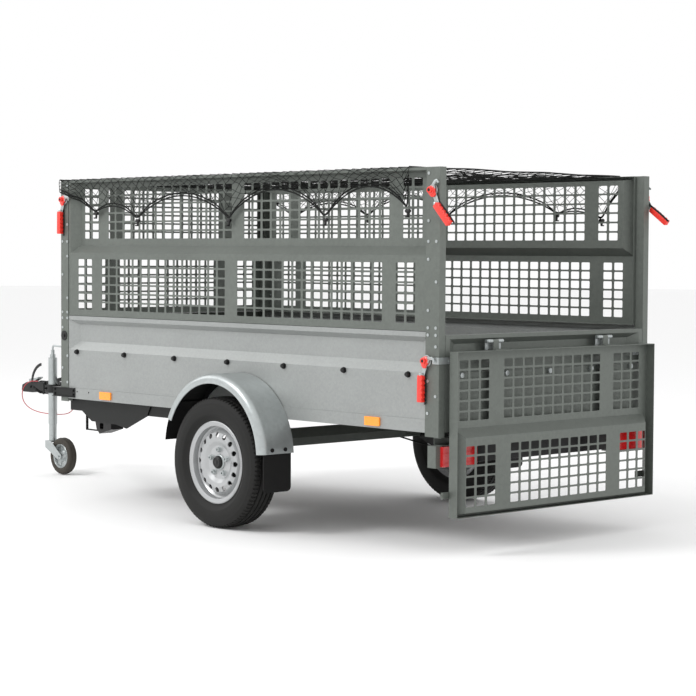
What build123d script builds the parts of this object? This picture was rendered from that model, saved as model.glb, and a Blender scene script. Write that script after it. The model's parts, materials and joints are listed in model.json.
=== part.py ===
"""Single-axle livestock trailer: pressed steel box, perforated upper panels, folding rear gate."""
from math import cos, pi, radians, sin
import os

from build123d import *

os.makedirs("parts", exist_ok=True)

# ---------------------------------------------------------------- driving dimensions, in millimetres
# Box
box_length = 2600.0
box_width = 1330.0
sill_z = 491.0
sill_height = 53.0
wall_height = 356.0
mesh_height = 660.0
post_foot_z = 475.0
post_sheet = 3.0
sheet = 2.0
tray_depth = 45.0
wall_flange = 30.0
front_post_side = 60.0
rear_post_side = 76.0
post_end = 35.0
floor_thickness = 12.0
gap = 1.0
gate_gap = 2.0

# Perforated pressing
hole_width = 50.0
hole_height = 34.0
hole_corner = 5.0
hole_pitch_x = 62.5
hole_pitch_z = 42.2
hole_rows = 6
step_depth = 40.0
bolt_head = 2.5

# Running gear
axle_setback = 1218.0
tyre_diameter = 578.0
tyre_width = 155.0
track_half = 758.5
arm_length = 160.0
arm_droop = 25.0
stub_radius = 17.5
running_clearance = 0.05
mudguard_radius = 350.0
mudguard_lift = 42.0
mudguard_outer = 845.0
mudguard_inner = 666.0
mudguard_rear_tip = 3.0
mudguard_front_tip = 156.0

# Drawbar and coupling
nose_reach = 1284.0
drawbar_z = 463.5
drawbar_height = 55.0
drawbar_wide = 40.0
tube_z = 455.0
draw_tube_radius = 25.0
housing_radius = 38.0
ball_radius = 25.0

# Jockey wheel
jockey_setback = 905.0
jockey_y = -85.0
jockey_tube_radius = 24.0
jockey_inner_radius = 21.4
jockey_wheel_diameter = 200.0
jockey_wheel_width = 50.0
jockey_trail = 100.0

# Tailboard, gate and latches
tailboard_z = 495.0
tailboard_height = 390.0
tailboard_pivot_x = -22.0
tailboard_pivot_z = 507.0
gate_height = 669.0
gate_hinge_x = 12.5
gate_hinge_z = 856.0
gate_hinge_y = 350.0
hinge_pin_radius = 4.0
latch_low_x = -64.0
latch_low_z = 782.0
latch_up_x = -34.0
latch_up_z = 1467.0
grip_offset = 21.0
grip_half = 13.0
grip_start = 66.0
grip_end = 166.0
open_angle_left = 44.0
open_angle_right = 55.0
net_sheet = 3.0
net_foot = 1385.0

# ---------------------------------------------------------------- places that follow
half = box_width / 2
wall_y = half - post_sheet
base_z = sill_z + sill_height
rim_z = base_z + wall_height
top_z = rim_z + mesh_height
end_half = half - post_end - gate_gap
open_right = radians(open_angle_right)
rear_reach = latch_up_x + (grip_half - grip_offset) * cos(open_right) + grip_end * sin(open_right)
rear_x = (box_length + nose_reach - rear_reach) / 2
front_x = rear_x - box_length
mid_x = (rear_x + front_x) / 2
nose_x = front_x - nose_reach
axle_x = rear_x - axle_setback
axle_z = tyre_diameter / 2
beam_x = axle_x - arm_length * cos(radians(arm_droop))
beam_z = axle_z + arm_length * sin(radians(arm_droop))
jockey_x = front_x - jockey_setback
jockey_hub_x = jockey_x + jockey_trail
jockey_hub_z = jockey_wheel_diameter / 2
hinge_x = rear_x + gate_hinge_x
inner_end = tray_depth + gap
LEFT = Plane(origin=(0, -half, 0), x_dir=(1, 0, 0), z_dir=(0, -1, 0))
RIGHT = Plane(origin=(0, half, 0), x_dir=(-1, 0, 0), z_dir=(0, 1, 0))


# ---------------------------------------------------------------- helpers
def save(piece, name):
    """Label a finished piece and write it as one STEP file."""
    piece.label = name
    export_step(piece, f"parts/{name}.step")
    print(f"{name}: {len(piece.solids())} solids")


def block(x0, x1, y0, y1, z0, z1, mode=Mode.ADD):
    """A straight block between two corners."""
    with Locations(((x0 + x1) / 2, (y0 + y1) / 2, (z0 + z1) / 2)):
        Box(abs(x1 - x0), abs(y1 - y0), abs(z1 - z0), mode=mode)


def area(x0, x1, y0, y1, mode=Mode.ADD):
    """A rectangle of a sketch between two corners."""
    with Locations(((x0 + x1) / 2, (y0 + y1) / 2)):
        Rectangle(abs(x1 - x0), abs(y1 - y0), mode=mode)


def rod(start, end, radius, mode=Mode.ADD):
    """A round bar from one point to another."""
    along = Vector(*end) - Vector(*start)
    with BuildSketch(Plane(origin=start, z_dir=along)) as end_face:
        Circle(radius)
    extrude(end_face.sketch, amount=along.length, mode=mode)


def outline(points):
    """A closed outline with straight sides."""
    with BuildLine() as edge:
        Polyline(*points, close=True)
    make_face(edge.edges())


def drill(plane, sites, radius, depth, mode=Mode.SUBTRACT):
    """Holes, or shanks, of one size into a plane."""
    with BuildSketch(plane) as round_spots:
        with Locations(*sites):
            Circle(radius)
    extrude(round_spots.sketch, amount=-depth, mode=mode)


def mirrored(piece, name, about=Plane.XZ):
    """The other hand of a piece."""
    with BuildPart() as other:
        mirror(piece, about=about)
    save(other.part, name)


def tray(plane, width, height, flange, margin, slope, low, low_floor, high_floor, high, depth):
    """A flanged sheet with one pressed recess; the plane's Y runs up from the lower edge."""
    middle = (0, height / 2)
    with BuildPart() as pressing:
        with BuildSketch(plane):
            with Locations(middle):
                Rectangle(width, height)
        extrude(amount=-flange)
        with BuildSketch(plane.offset(-sheet)):
            with Locations(middle):
                Rectangle(width - 2 * sheet, height - 2 * sheet)
        extrude(amount=-flange, mode=Mode.SUBTRACT)
        for grow, mode in ((sheet, Mode.ADD), (0, Mode.SUBTRACT)):
            mouth = width / 2 - margin + grow
            floor = mouth - slope
            with BuildSketch(plane):
                area(-mouth, mouth, low - grow, high + grow)
            with BuildSketch(plane.offset(-depth - grow)):
                area(-floor, floor, low_floor - grow, high_floor + grow)
            loft(ruled=True, mode=mode)
    return pressing.part


def hole_blocks(counts, spaces):
    """Centre and column count of each block of holes, centred on the panel."""
    widths = [(count - 1) * hole_pitch_x + hole_width for count in counts]
    left = -(sum(widths) + sum(spaces)) / 2
    blocks = []
    for count, width, space in zip(counts, widths, list(spaces) + [0]):
        blocks.append((left + width / 2, count))
        left += width + space
    return blocks


def mesh_panel(plane, width, height, lift, margin, blocks):
    """The stepped perforated pressing that makes every upper panel."""
    band = (hole_rows - 1) * hole_pitch_z + hole_height
    low_band = 31 + lift + band / 2
    high_band = 376 + lift + band / 2
    base = tray(plane, width, height, tray_depth, margin, 35, 305 + lift, 343 + lift,
                height - 19, height - 12, step_depth)
    with BuildPart() as panel:
        add(base)
        with BuildSketch(plane):
            for centre, count in blocks:
                with Locations((centre, low_band), (centre, high_band)):
                    with GridLocations(hole_pitch_x, hole_pitch_z, count, hole_rows):
                        RectangleRounded(hole_width, hole_height, hole_corner)
        extrude(amount=-tray_depth - 1, mode=Mode.SUBTRACT)
    return panel.part


# ---------------------------------------------------------------- bolts through the posts
rear_columns = (-rear_post_side + 14, -18)
front_columns = (-box_length + 14, -box_length + front_post_side - 6)
low_rows = (570, 640, 700, 840, 886)
high_rows = (915, 985, 1100, 1190, 1262, 1345, 1410, 1535)
side_sites = []
for columns in (rear_columns, front_columns):
    inner = max(columns) if columns is front_columns else min(columns)
    outer = min(columns) if columns is front_columns else max(columns)
    for index, height in enumerate(low_rows + high_rows):
        side_sites.append((rear_x + (inner if index % 2 == 0 else outer), height))
        if height in (886, 915, 1262):
            side_sites.append((rear_x + (outer if index % 2 == 0 else inner), height))
bolt_radius = 3.0
bolt_hole = bolt_radius + running_clearance
left_sites = side_sites
right_sites = [(-x, z) for x, z in side_sites]
post_and_wall = post_sheet + sheet

# ---------------------------------------------------------------- floor, sills and cross members
floor_z = base_z + sheet
with BuildPart() as floor_board:
    block(front_x + 2 * inner_end, rear_x - 52, -wall_y + sheet + gap, wall_y - sheet - gap,
          floor_z, floor_z + floor_thickness)
save(floor_board.part, "floor_board")

sill_hole_radius = 4.5
sill_hole_spacing = 96.0
sill_hole_x = front_x + 181
sill_front = front_x + front_post_side + gap
sill_rear = rear_x - rear_post_side - gap
with BuildPart() as sill_rails:
    for side in (-1, 1):
        block(sill_front, sill_rear, side * half, side * (half - 50), sill_z, base_z)
        block(sill_front - 1, sill_rear + 1, side * (half - 2.5), side * (half - 51),
              sill_z + 2.5, base_z - 2.5, mode=Mode.SUBTRACT)
    for plane, turn in ((LEFT, 1), (RIGHT, -1)):
        near = turn * (sill_hole_x - sill_hole_spacing / 2)
        far = turn * (sill_hole_x + sill_hole_spacing / 2)
        drill(plane, ((near, 527), (far, 527)), sill_hole_radius, 4)
save(sill_rails.part, "sill_rails")

member_half = half - 51
with BuildPart() as cross_members:
    member_places = (front_x + 4, front_x + 560, front_x + 1100, front_x + 1640,
                     front_x + 2140, rear_x - 102)
    for place in member_places:
        block(place, place + 50, -member_half, member_half, sill_z, base_z)
        block(place + 2.5, place + 47.5, -member_half - 1, member_half + 1, sill_z - 1, base_z - 2.5,
              mode=Mode.SUBTRACT)
save(cross_members.part, "cross_members")

# ---------------------------------------------------------------- walls and perforated panels
side_length = box_length - 2 * inner_end
left_wall_plane = Plane(origin=(mid_x, -wall_y, base_z), x_dir=(1, 0, 0), z_dir=(0, -1, 0))
wall_panel = tray(left_wall_plane, side_length, wall_height - 2, wall_flange, 19, 53,
                  188, 228, 313, 334, 28)
low_sites = [(x, z) for x, z in left_sites if z < rim_z]
button_pitch = 382.0
button_sites = [(rear_x - 175 - button_pitch * index, 722) for index in range(7)]
button_hole = 4.0
with BuildPart() as side_wall:
    add(wall_panel)
    drill(LEFT, low_sites, bolt_hole, post_and_wall + 1)
    drill(LEFT, button_sites, button_hole, post_and_wall + 1)
save(side_wall.part, "side_wall_left")
mirrored(side_wall.part, "side_wall_right")

end_width = 2 * end_half
front_wall_plane = Plane(origin=(front_x, 0, base_z), x_dir=(0, -1, 0), z_dir=(-1, 0, 0))
save(tray(front_wall_plane, end_width, wall_height - 2, tray_depth, 25, 53, 188, 228, 313, 334, 28),
     "front_wall")

side_blocks = hole_blocks((2, 15, 15, 2), (80, 85, 80))
end_blocks = hole_blocks((3, 10, 3), (91, 91))
left_mesh_plane = Plane(origin=(mid_x, -wall_y, rim_z), x_dir=(1, 0, 0), z_dir=(0, -1, 0))
side_mesh = mesh_panel(left_mesh_plane, side_length, mesh_height, 0, 75 - inner_end, side_blocks)
high_sites = [(x, z) for x, z in left_sites if z > rim_z]
with BuildPart() as mesh_side:
    add(side_mesh)
    drill(LEFT, high_sites, bolt_hole, post_and_wall + 1)
save(mesh_side.part, "mesh_side_left")
mirrored(mesh_side.part, "mesh_side_right")

front_mesh_plane = Plane(origin=(front_x, 0, rim_z), x_dir=(0, -1, 0), z_dir=(-1, 0, 0))
save(mesh_panel(front_mesh_plane, end_width, mesh_height, 0, 20, end_blocks), "mesh_front")


# ---------------------------------------------------------------- corner posts
def corner_post(corner_x, inward, side_flange):
    """A left-hand post: side flange, end flange and the return that stops the gate."""
    with BuildPart() as post:
        with BuildSketch(Plane.XY.offset(post_foot_z)):
            area(corner_x, corner_x + inward * side_flange, -half, -wall_y)
            area(corner_x, corner_x + inward * post_sheet, -half, -half + post_end)
            area(corner_x, corner_x + inward * tray_depth, -half + post_end,
                 -half + post_end - post_sheet)
        extrude(amount=top_z - post_foot_z)
        drill(LEFT, left_sites, bolt_hole, post_sheet + 1)
        if inward < 0:
            rod((rear_x + tailboard_pivot_x, -half + post_end - post_sheet - 1, tailboard_pivot_z),
                (rear_x + tailboard_pivot_x, -half + post_end + 1, tailboard_pivot_z),
                8 + running_clearance, mode=Mode.SUBTRACT)
    return post.part


rear_post = corner_post(rear_x, -1, rear_post_side)
front_post = corner_post(front_x, 1, front_post_side)
save(rear_post, "post_rear_left")
mirrored(rear_post, "post_rear_right")
save(front_post, "post_front_left")
mirrored(front_post, "post_front_right")

with BuildPart() as frame_bolts:
    for plane, sites in ((LEFT, left_sites), (RIGHT, right_sites)):
        with BuildSketch(plane):
            with Locations(*sites):
                Circle(6.5)
        extrude(amount=bolt_head)
        drill(plane, sites, bolt_radius, post_and_wall + 6, mode=Mode.ADD)
        with BuildSketch(plane.offset(-post_and_wall)):
            with Locations(*sites):
                RegularPolygon(5.2, 6)
        extrude(amount=-5)
save(frame_bolts.part, "frame_bolts")

with BuildPart() as cover_buttons:
    for plane, turn in ((LEFT, 1), (RIGHT, -1)):
        sites = [(turn * x, z) for x, z in button_sites]
        wall_plane = plane.offset(-post_sheet)
        for radius, out in ((9, 6), (6, 10), (13, 16)):
            with BuildSketch(wall_plane):
                with Locations(*sites):
                    Circle(radius)
            extrude(amount=out if radius != 13 else 4)
        with BuildSketch(wall_plane.offset(10)):
            with Locations(*sites):
                Circle(11)
        extrude(amount=6, taper=30)
        drill(wall_plane, sites, button_hole - running_clearance, sheet + 2, mode=Mode.ADD)
save(cover_buttons.part, "cover_buttons")

reflector_places = (front_x + 370, rear_x - 378.5)
with BuildPart() as side_reflectors:
    for side in (-1, 1):
        for place in reflector_places:
            block(place - 44, place + 44, side * half, side * (half + 8), 500, 537)
    fillet(side_reflectors.edges().filter_by(Axis.Y), 5)
save(side_reflectors.part, "side_reflectors")

# ---------------------------------------------------------------- drawbar, rails and brackets
leg_top_y = 62.0
leg_front_x = front_x - 800
rail_y = 600.0
leg_slope = (500 - leg_top_y) / 800
leg_rear_x = front_x + (rail_y - 500) / leg_slope
rail_rear_x = beam_x - 60
drawbar_top = drawbar_z + drawbar_height / 2
drawbar_foot = drawbar_z - drawbar_height / 2
with BuildPart() as drawbar_left:
    start = Vector(leg_front_x, -leg_top_y, drawbar_z)
    end = Vector(leg_rear_x, -rail_y, drawbar_z)
    leg_plane = Plane(origin=start, x_dir=(0, 0, 1), z_dir=end - start)
    with BuildSketch(leg_plane):
        RectangleRounded(drawbar_height, drawbar_wide, 5)
        RectangleRounded(drawbar_height - 6, drawbar_wide - 6, 2, mode=Mode.SUBTRACT)
    extrude(amount=(end - start).length)
    rail_front_x = leg_rear_x + 25
    with BuildSketch(Plane(origin=(rail_front_x, -rail_y, drawbar_z), x_dir=(0, 0, 1), z_dir=(1, 0, 0))):
        RectangleRounded(drawbar_height, drawbar_wide, 5)
        RectangleRounded(drawbar_height - 6, drawbar_wide - 6, 2, mode=Mode.SUBTRACT)
    extrude(amount=rail_rear_x - rail_front_x)
save(drawbar_left.part, "drawbar_left")
mirrored(drawbar_left.part, "drawbar_right")

gusset_inner = rail_y + drawbar_wide / 2 + gap
gusset = [(25, 489), (25, 430), (120, 430), (200, 384), (400, 380), (480, 366), (640, 435), (670, 489)]
with BuildPart() as chassis_brackets:
    for side in (-1, 1):
        inner_plane = Plane(origin=(front_x, side * gusset_inner, 0), x_dir=(1, 0, 0), z_dir=(0, -1, 0))
        with BuildSketch(inner_plane):
            outline(gusset)
        extrude(amount=-side * 5)
        outer = side * half
        block(front_x - 65, front_x + 119, outer, outer + side * 3, 497, 543)
        block(front_x - 65, front_x + 119, outer, outer + side * 10, 497, 500)
        block(front_x - 65, front_x + 119, outer, outer + side * 10, 540, 543)
        for place in (-52, 102):
            for height in (510, 530):
                rod((front_x + place, outer, height), (front_x + place, outer + side * 8, height), 6)
        block(front_x - 65, front_x - gap, outer, outer - side * 120, 497, 543)
    for x0, x1 in ((-2490, -2484), (-2400, -2394)):
        block(rear_x + x0, rear_x + x1, -596, -584, 340, 436)
    block(rear_x - 2490, rear_x - 2394, -596, -584, 334, 340)
    block(rear_x - 2330, rear_x - 2310, -596, -584, 395.5, 436)
save(chassis_brackets.part, "chassis_brackets")

with BuildPart() as wheel_chock:
    with BuildSketch(Plane(origin=(rear_x - 2320, -545, 0), x_dir=(1, 0, 0), z_dir=(0, -1, 0))):
        outline([(-62, 392), (68, 398), (68, 352), (-26, 326), (-50, 350)])
        with Locations((-8, 364)):
            RectangleRounded(30, 30, 8, mode=Mode.SUBTRACT)
    extrude(amount=74)
save(wheel_chock.part, "wheel_chock")

# ---------------------------------------------------------------- axle, arms, hubs, wheels
beam_half = 585.0
arm_thickness = 25.0
beam_bore = 22.0
with BuildPart() as axle_beam:
    with BuildSketch(Plane(origin=(beam_x, -beam_half, beam_z), x_dir=(1, 0, 0), z_dir=(0, 1, 0))):
        RegularPolygon(46, 6)
        Circle(beam_bore + running_clearance, mode=Mode.SUBTRACT)
    extrude(amount=2 * beam_half)
    for side in (-1, 1):
        for place in (-44, 36):
            block(beam_x + place, beam_x + place + 8, side * 560, side * 480, beam_z - 25, sill_z)
        block(beam_x - 70, beam_x + 70, side * 560, side * 480, sill_z - 8, sill_z)
    rod((beam_x, -beam_half - 1, beam_z), (beam_x, beam_half + 1, beam_z),
        beam_bore + running_clearance, mode=Mode.SUBTRACT)
save(axle_beam.part, "axle_beam")

arm_inner = beam_half + gap
arm_outer = arm_inner + arm_thickness
stub_end = track_half + 12
with BuildPart() as swing_arm:
    with BuildSketch(Plane(origin=(0, -arm_inner, 0), x_dir=(1, 0, 0), z_dir=(0, -1, 0))):
        with Locations((beam_x, beam_z)):
            Circle(40)
        with Locations((axle_x, axle_z)):
            Circle(30)
        with BuildLine():
            Polyline((beam_x + 12, beam_z + 38), (axle_x + 12, axle_z + 27), (axle_x - 14, axle_z - 26),
                     (beam_x - 18, beam_z - 35), close=True)
        make_face()
    extrude(amount=arm_thickness)
    rod((beam_x, -arm_inner - 1, beam_z), (beam_x, -beam_half + 260, beam_z), beam_bore)
    rod((axle_x, -arm_outer + 1, axle_z), (axle_x, -700, axle_z), 28)
    rod((axle_x, -700, axle_z), (axle_x, -705, axle_z), 106)
    rod((axle_x, -705, axle_z), (axle_x, -stub_end, axle_z), stub_radius)
save(swing_arm.part, "swing_arm_left")
mirrored(swing_arm.part, "swing_arm_right")

hub_face = 30.0
disc = 4.0
wheel_pcd = 112.0
wheel_bolt_hole = 7.0


def wheel_plane(offset):
    """A plane across the left wheel, out from its centre, whose Y points up."""
    return Plane(origin=(axle_x, -track_half - offset, axle_z), x_dir=(1, 0, 0), z_dir=(0, -1, 0))


def across(name_points):
    """Wheel section points (out, radius) on the plane through the axle."""
    return [(-out, radius) for out, radius in name_points]


section = Plane(origin=(axle_x, -track_half, axle_z), x_dir=(0, 1, 0), z_dir=(1, 0, 0))
spin_axis = Axis((axle_x, -track_half, axle_z), (0, 1, 0))
backplate_y = 705.0
drum_back = backplate_y - track_half + gap
with BuildPart() as brake_drum:
    with BuildSketch(wheel_plane(drum_back)):
        Circle(104)
    extrude(amount=hub_face - drum_back)
    with BuildSketch(wheel_plane(hub_face)):
        Circle(28)
    extrude(amount=26)
    fillet(brake_drum.faces().sort_by(Axis.Y)[0].edges(), 9)
    rod((axle_x, -700, axle_z), (axle_x, -stub_end - gap, axle_z), stub_radius + running_clearance,
        mode=Mode.SUBTRACT)
    with BuildSketch(wheel_plane(hub_face)):
        with PolarLocations(wheel_pcd / 2, 5, start_angle=90):
            Circle(wheel_bolt_hole - 0.4)
    extrude(amount=disc + 6)
    with BuildSketch(wheel_plane(hub_face + disc)):
        with PolarLocations(wheel_pcd / 2, 5, start_angle=90):
            RegularPolygon(10.5, 6)
    extrude(amount=13)
save(brake_drum.part, "brake_drum_left")
mirrored(brake_drum.part, "brake_drum_right")

seat_radius = 165.0
flange_radius = 182.5
rim_half = 58.0
vent_radius = 11.5
with BuildPart() as wheel_rim:
    with BuildSketch(section):
        outline(across([(-rim_half, flange_radius), (-rim_half + 4, flange_radius - 2),
                        (-rim_half + 9, seat_radius), (-22, seat_radius - 3), (-14, 150), (16, 150),
                        (26, seat_radius - 3), (rim_half - 9, seat_radius), (rim_half - 4, flange_radius - 2),
                        (rim_half, flange_radius), (rim_half + 2, flange_radius - 4),
                        (rim_half - 5, seat_radius - 4), (28, seat_radius - 7), (19, 146), (-17, 146),
                        (-25, seat_radius - 7), (-rim_half + 5, seat_radius - 4),
                        (-rim_half - 2, flange_radius - 4)]))
        outline(across([(18, 148), (12, 142), (40, 128), (46, 112), (40, 96), (26 + disc, 82),
                        (hub_face, 76), (hub_face, 29), (hub_face + disc, 29), (hub_face + disc, 74),
                        (44, 92), (50.5, 112), (44, 131)]))
    revolve(axis=spin_axis)
    with BuildSketch(wheel_plane(rim_half)):
        with PolarLocations(121, 16):
            Circle(vent_radius)
        with PolarLocations(wheel_pcd / 2, 5, start_angle=90):
            Circle(wheel_bolt_hole)
    extrude(amount=-rim_half + 20, mode=Mode.SUBTRACT)
save(wheel_rim.part, "wheel_rim_left")
mirrored(wheel_rim.part, "wheel_rim_right")

tyre_radius = tyre_diameter / 2
side_radius = tyre_radius - 58
shoulder = tyre_width / 2 - 14
bead = rim_half - 10
with BuildPart() as tyre:
    with BuildSketch(section):
        with BuildLine():
            Line((-bead, seat_radius + 0.2), (-bead - 5, seat_radius + 16))
            ThreePointArc((-bead - 5, seat_radius + 16), (-tyre_width / 2, side_radius),
                          (-shoulder, tyre_radius - 7))
            ThreePointArc((-shoulder, tyre_radius - 7), (0, tyre_radius), (shoulder, tyre_radius - 7))
            ThreePointArc((shoulder, tyre_radius - 7), (tyre_width / 2, side_radius),
                          (bead + 5, seat_radius + 16))
            Line((bead + 5, seat_radius + 16), (bead, seat_radius + 0.2))
            Line((bead, seat_radius + 0.2), (bead - 14, seat_radius + 0.2))
            Line((bead - 14, seat_radius + 0.2), (bead - 8, seat_radius + 18))
            ThreePointArc((bead - 8, seat_radius + 18), (tyre_width / 2 - 9, side_radius),
                          (shoulder - 7, tyre_radius - 19))
            ThreePointArc((shoulder - 7, tyre_radius - 19), (0, tyre_radius - 14),
                          (-shoulder + 7, tyre_radius - 19))
            ThreePointArc((-shoulder + 7, tyre_radius - 19), (-tyre_width / 2 + 9, side_radius),
                          (-bead + 8, seat_radius + 18))
            Line((-bead + 8, seat_radius + 18), (-bead + 14, seat_radius + 0.2))
            Line((-bead + 14, seat_radius + 0.2), (-bead, seat_radius + 0.2))
        make_face()
        for groove in (-36, -12, 12, 36):
            area(groove - 3, groove + 3, tyre_radius - 8, tyre_radius + 1, mode=Mode.SUBTRACT)
    revolve(axis=spin_axis)
save(tyre.part, "tyre_left")
mirrored(tyre.part, "tyre_right")

# ---------------------------------------------------------------- mudguards and flaps
guard_sheet = 2.0
guard_depth = 40.0
guard_lip = 28.0
guard_z = axle_z + mudguard_lift
guard_bolt_radius = 5.0
guard_bolt_y = (715.0, 790.0)
rear_tip = radians(mudguard_rear_tip)
guard_radial = (cos(rear_tip), 0, sin(rear_tip))
flap_thickness = 5.0
flap_x = axle_x + mudguard_radius - 17
flap_bolt_z = guard_z + 36
tongue_inner = mudguard_radius - 9
tongue_outer = mudguard_radius - 6.5
tongue_turn = radians(mudguard_front_tip - 8)
tongue_out = (cos(tongue_turn), sin(tongue_turn))


def guard_bolts(extra, mode):
    """The bolts that hold one flap and one front tongue in the left mudguard, or their holes."""
    for place in guard_bolt_y:
        rod((flap_x - 4, -place, flap_bolt_z), (axle_x + mudguard_radius - 0.8, -place, flap_bolt_z),
            guard_bolt_radius + extra, mode=mode)
        start, end = tongue_inner - 4, mudguard_radius + 0.2
        rod((axle_x + tongue_out[0] * start, -place, guard_z + tongue_out[1] * start),
            (axle_x + tongue_out[0] * end, -place, guard_z + tongue_out[1] * end),
            guard_bolt_radius + extra, mode=mode)


with BuildPart() as mudguard:
    guard_plane = Plane(origin=(axle_x, 0, guard_z), x_dir=(0, 1, 0),
                        z_dir=Vector(*guard_radial).cross(Vector(0, 1, 0)) * -1)
    with BuildSketch(guard_plane) as guard_section:
        for inset, mode in ((0, Mode.ADD), (guard_sheet, Mode.SUBTRACT)):
            with BuildSketch(mode=Mode.PRIVATE) as shape:
                area(-mudguard_outer + inset, -mudguard_inner + inset * 2, mudguard_radius - guard_depth - inset,
                     mudguard_radius - inset)
                fillet(shape.vertices().group_by(Axis.X)[0].group_by(Axis.Y)[-1], 30 - inset)
            add(shape.sketch, mode=mode)
        area(-mudguard_inner - guard_sheet, -mudguard_inner, mudguard_radius - guard_lip, mudguard_radius)
        with Locations((-mudguard_outer + 3.5, mudguard_radius - guard_depth)):
            Circle(3.5)
    revolve(axis=Axis((axle_x, 0, guard_z), (0, 1, 0)), revolution_arc=mudguard_rear_tip - mudguard_front_tip)
    guard_bolts(running_clearance, Mode.SUBTRACT)
with BuildPart() as mudguards:
    add(mudguard.part)
    mirror(mudguard.part, about=Plane.XZ)
save(mudguards.part, "mudguards")

flap_width = 156.0
flap_middle = -mudguard_inner - 6 - flap_width / 2
with BuildPart() as mud_flap:
    with BuildSketch(Plane(origin=(flap_x, flap_middle, guard_z - 50), x_dir=(0, 1, 0), z_dir=(1, 0, 0))):
        RectangleRounded(flap_width, 196, 22)
    extrude(amount=flap_thickness)
    with BuildSketch(Plane(origin=(axle_x, 0, guard_z), x_dir=(1, 0, 0), z_dir=(0, -1, 0)).offset(
            -flap_middle - flap_width / 2)) as tongue_section:
        with BuildLine() as tongue_line:
            for radius in (tongue_inner, tongue_outer):
                CenterArc((0, 0), radius, mudguard_front_tip - 14, 32)
            for turn in (mudguard_front_tip - 14, mudguard_front_tip + 18):
                Line((tongue_inner * cos(radians(turn)), tongue_inner * sin(radians(turn))),
                     (tongue_outer * cos(radians(turn)), tongue_outer * sin(radians(turn))))
        make_face(tongue_line.edges())
    extrude(tongue_section.sketch, amount=flap_width)
    guard_bolts(0, Mode.ADD)
    for place in guard_bolt_y:
        rod((axle_x + mudguard_radius - 0.8, -place, flap_bolt_z),
            (axle_x + mudguard_radius + 2.5, -place, flap_bolt_z), 9)
with BuildPart() as mud_flaps:
    add(mud_flap.part)
    mirror(mud_flap.part, about=Plane.XZ)
save(mud_flaps.part, "mud_flaps")

# ---------------------------------------------------------------- rear lamps and their carrier
lamp_inner = 430.0
with BuildPart() as light_bar:
    block(rear_x - 44, rear_x - 20, -lamp_inner, lamp_inner, 360, 432)
    fillet(light_bar.edges().filter_by(Axis.Y), 5)
save(light_bar.part, "light_bar")

with BuildPart() as lamp_carrier:
    block(rear_x - 50, rear_x - 12, -half + 25, half - 25, 440, 472)
    block(rear_x - 47.5, rear_x - 11, -half + 20, half - 20, 442.5, 469.5, mode=Mode.SUBTRACT)
    for side in (-1, 1):
        block(rear_x - 96, rear_x - 50.5, side * 560, side * 590, 455, sill_z)
        block(rear_x - 62, rear_x - 16, side * lamp_inner, side * (half - 2), 350, 440)
    plate_plane = Plane(origin=(rear_x - 50, 0, 456), x_dir=(0, 1, 0), z_dir=(1, 0, 0))
    with BuildSketch(plate_plane):
        with GridLocations(240, 1, 2, 1):
            Circle(3)
    extrude(amount=4, both=True, mode=Mode.SUBTRACT)
save(lamp_carrier.part, "lamp_carrier")

with BuildPart() as lamp_lenses:
    for side in (-1, 1):
        block(rear_x - 16, rear_x - 2, side * (lamp_inner + 4), side * (half - 28), 354, 436)
    fillet(lamp_lenses.edges().filter_by(Axis.X), 4)
save(lamp_lenses.part, "lamp_lenses")

# ---------------------------------------------------------------- tailboard, gate and their hinges
board_plane = Plane(origin=(rear_x, 0, tailboard_z), x_dir=(0, 1, 0), z_dir=(1, 0, 0))
board_pressing = tray(board_plane, end_width, tailboard_height, tray_depth, 25, 53, 237, 277, 353, 374, 28)
with BuildPart() as tailboard:
    add(board_pressing)
    for side in (-1, 1):
        rod((rear_x + tailboard_pivot_x, side * (end_half - 1), tailboard_pivot_z),
            (rear_x + tailboard_pivot_x, side * (end_half + 6), tailboard_pivot_z), 8)
save(tailboard.part, "tailboard")

catch_half = 15.0


def catch_pair(stud_x, stud_z, wrap_x, turned):
    """Both catches of one flap: a plate round the post edge, with a stud for the latch."""
    def place(x, z):
        return (2 * hinge_x - x, 2 * gate_hinge_z - z) if turned else (x, z)

    low, high = stud_z - 12, stud_z + catch_half
    for side in (-1, 1):
        far = side * (half + 6)
        x0, z0 = place(rear_x + 0.5, low)
        x1, z1 = place(rear_x + 3.5, high)
        block(x0, x1, side * 560, far, z0, z1)
        x0, z0 = place(wrap_x, low)
        x1, z1 = place(rear_x + 3.5, high)
        block(x0, x1, side * (half + 3), far, z0, z1)
        x0, z0 = place(stud_x, stud_z)
        rod((x0, side * (half + 5), z0), (x0, side * (half + 13), z0), 4)
        for head in (585, 608):
            x0, z0 = place(rear_x, stud_z)
            x1, z1 = place(rear_x + 7.5, stud_z)
            rod((x0, side * head, z0), (x1, side * head, z1), 6)


knuckle = 8.0
leaf_half = 47.0
middle_half = 16.5
with BuildPart() as tailboard_fittings:
    catch_pair(rear_x - 18, latch_low_z, rear_x - 32, False)
    for side in (-1, 1):
        centre = side * gate_hinge_y
        block(rear_x, rear_x + 3, centre - leaf_half, centre + leaf_half, 816, 845)
        for edge in (-1, 1):
            near = centre + edge * (middle_half + 0.5)
            far = centre + edge * leaf_half
            block(rear_x, rear_x + 3, near, far, 845, 864)
            block(rear_x, hinge_x, near, far, gate_hinge_z - knuckle, gate_hinge_z + knuckle)
            rod((hinge_x, near, gate_hinge_z), (hinge_x, far, gate_hinge_z), knuckle)
            rod((hinge_x, near - 1 * edge, gate_hinge_z), (hinge_x, far + edge, gate_hinge_z),
                hinge_pin_radius + running_clearance, mode=Mode.SUBTRACT)
    for place in (-540, -270, 0, 270, 540):
        rod((rear_x, place, 722), (rear_x + 6, place, 722), 9)
        rod((rear_x + 6, place, 722), (rear_x + 12, place, 722), 11)
save(tailboard_fittings.part, "tailboard_fittings")

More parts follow.
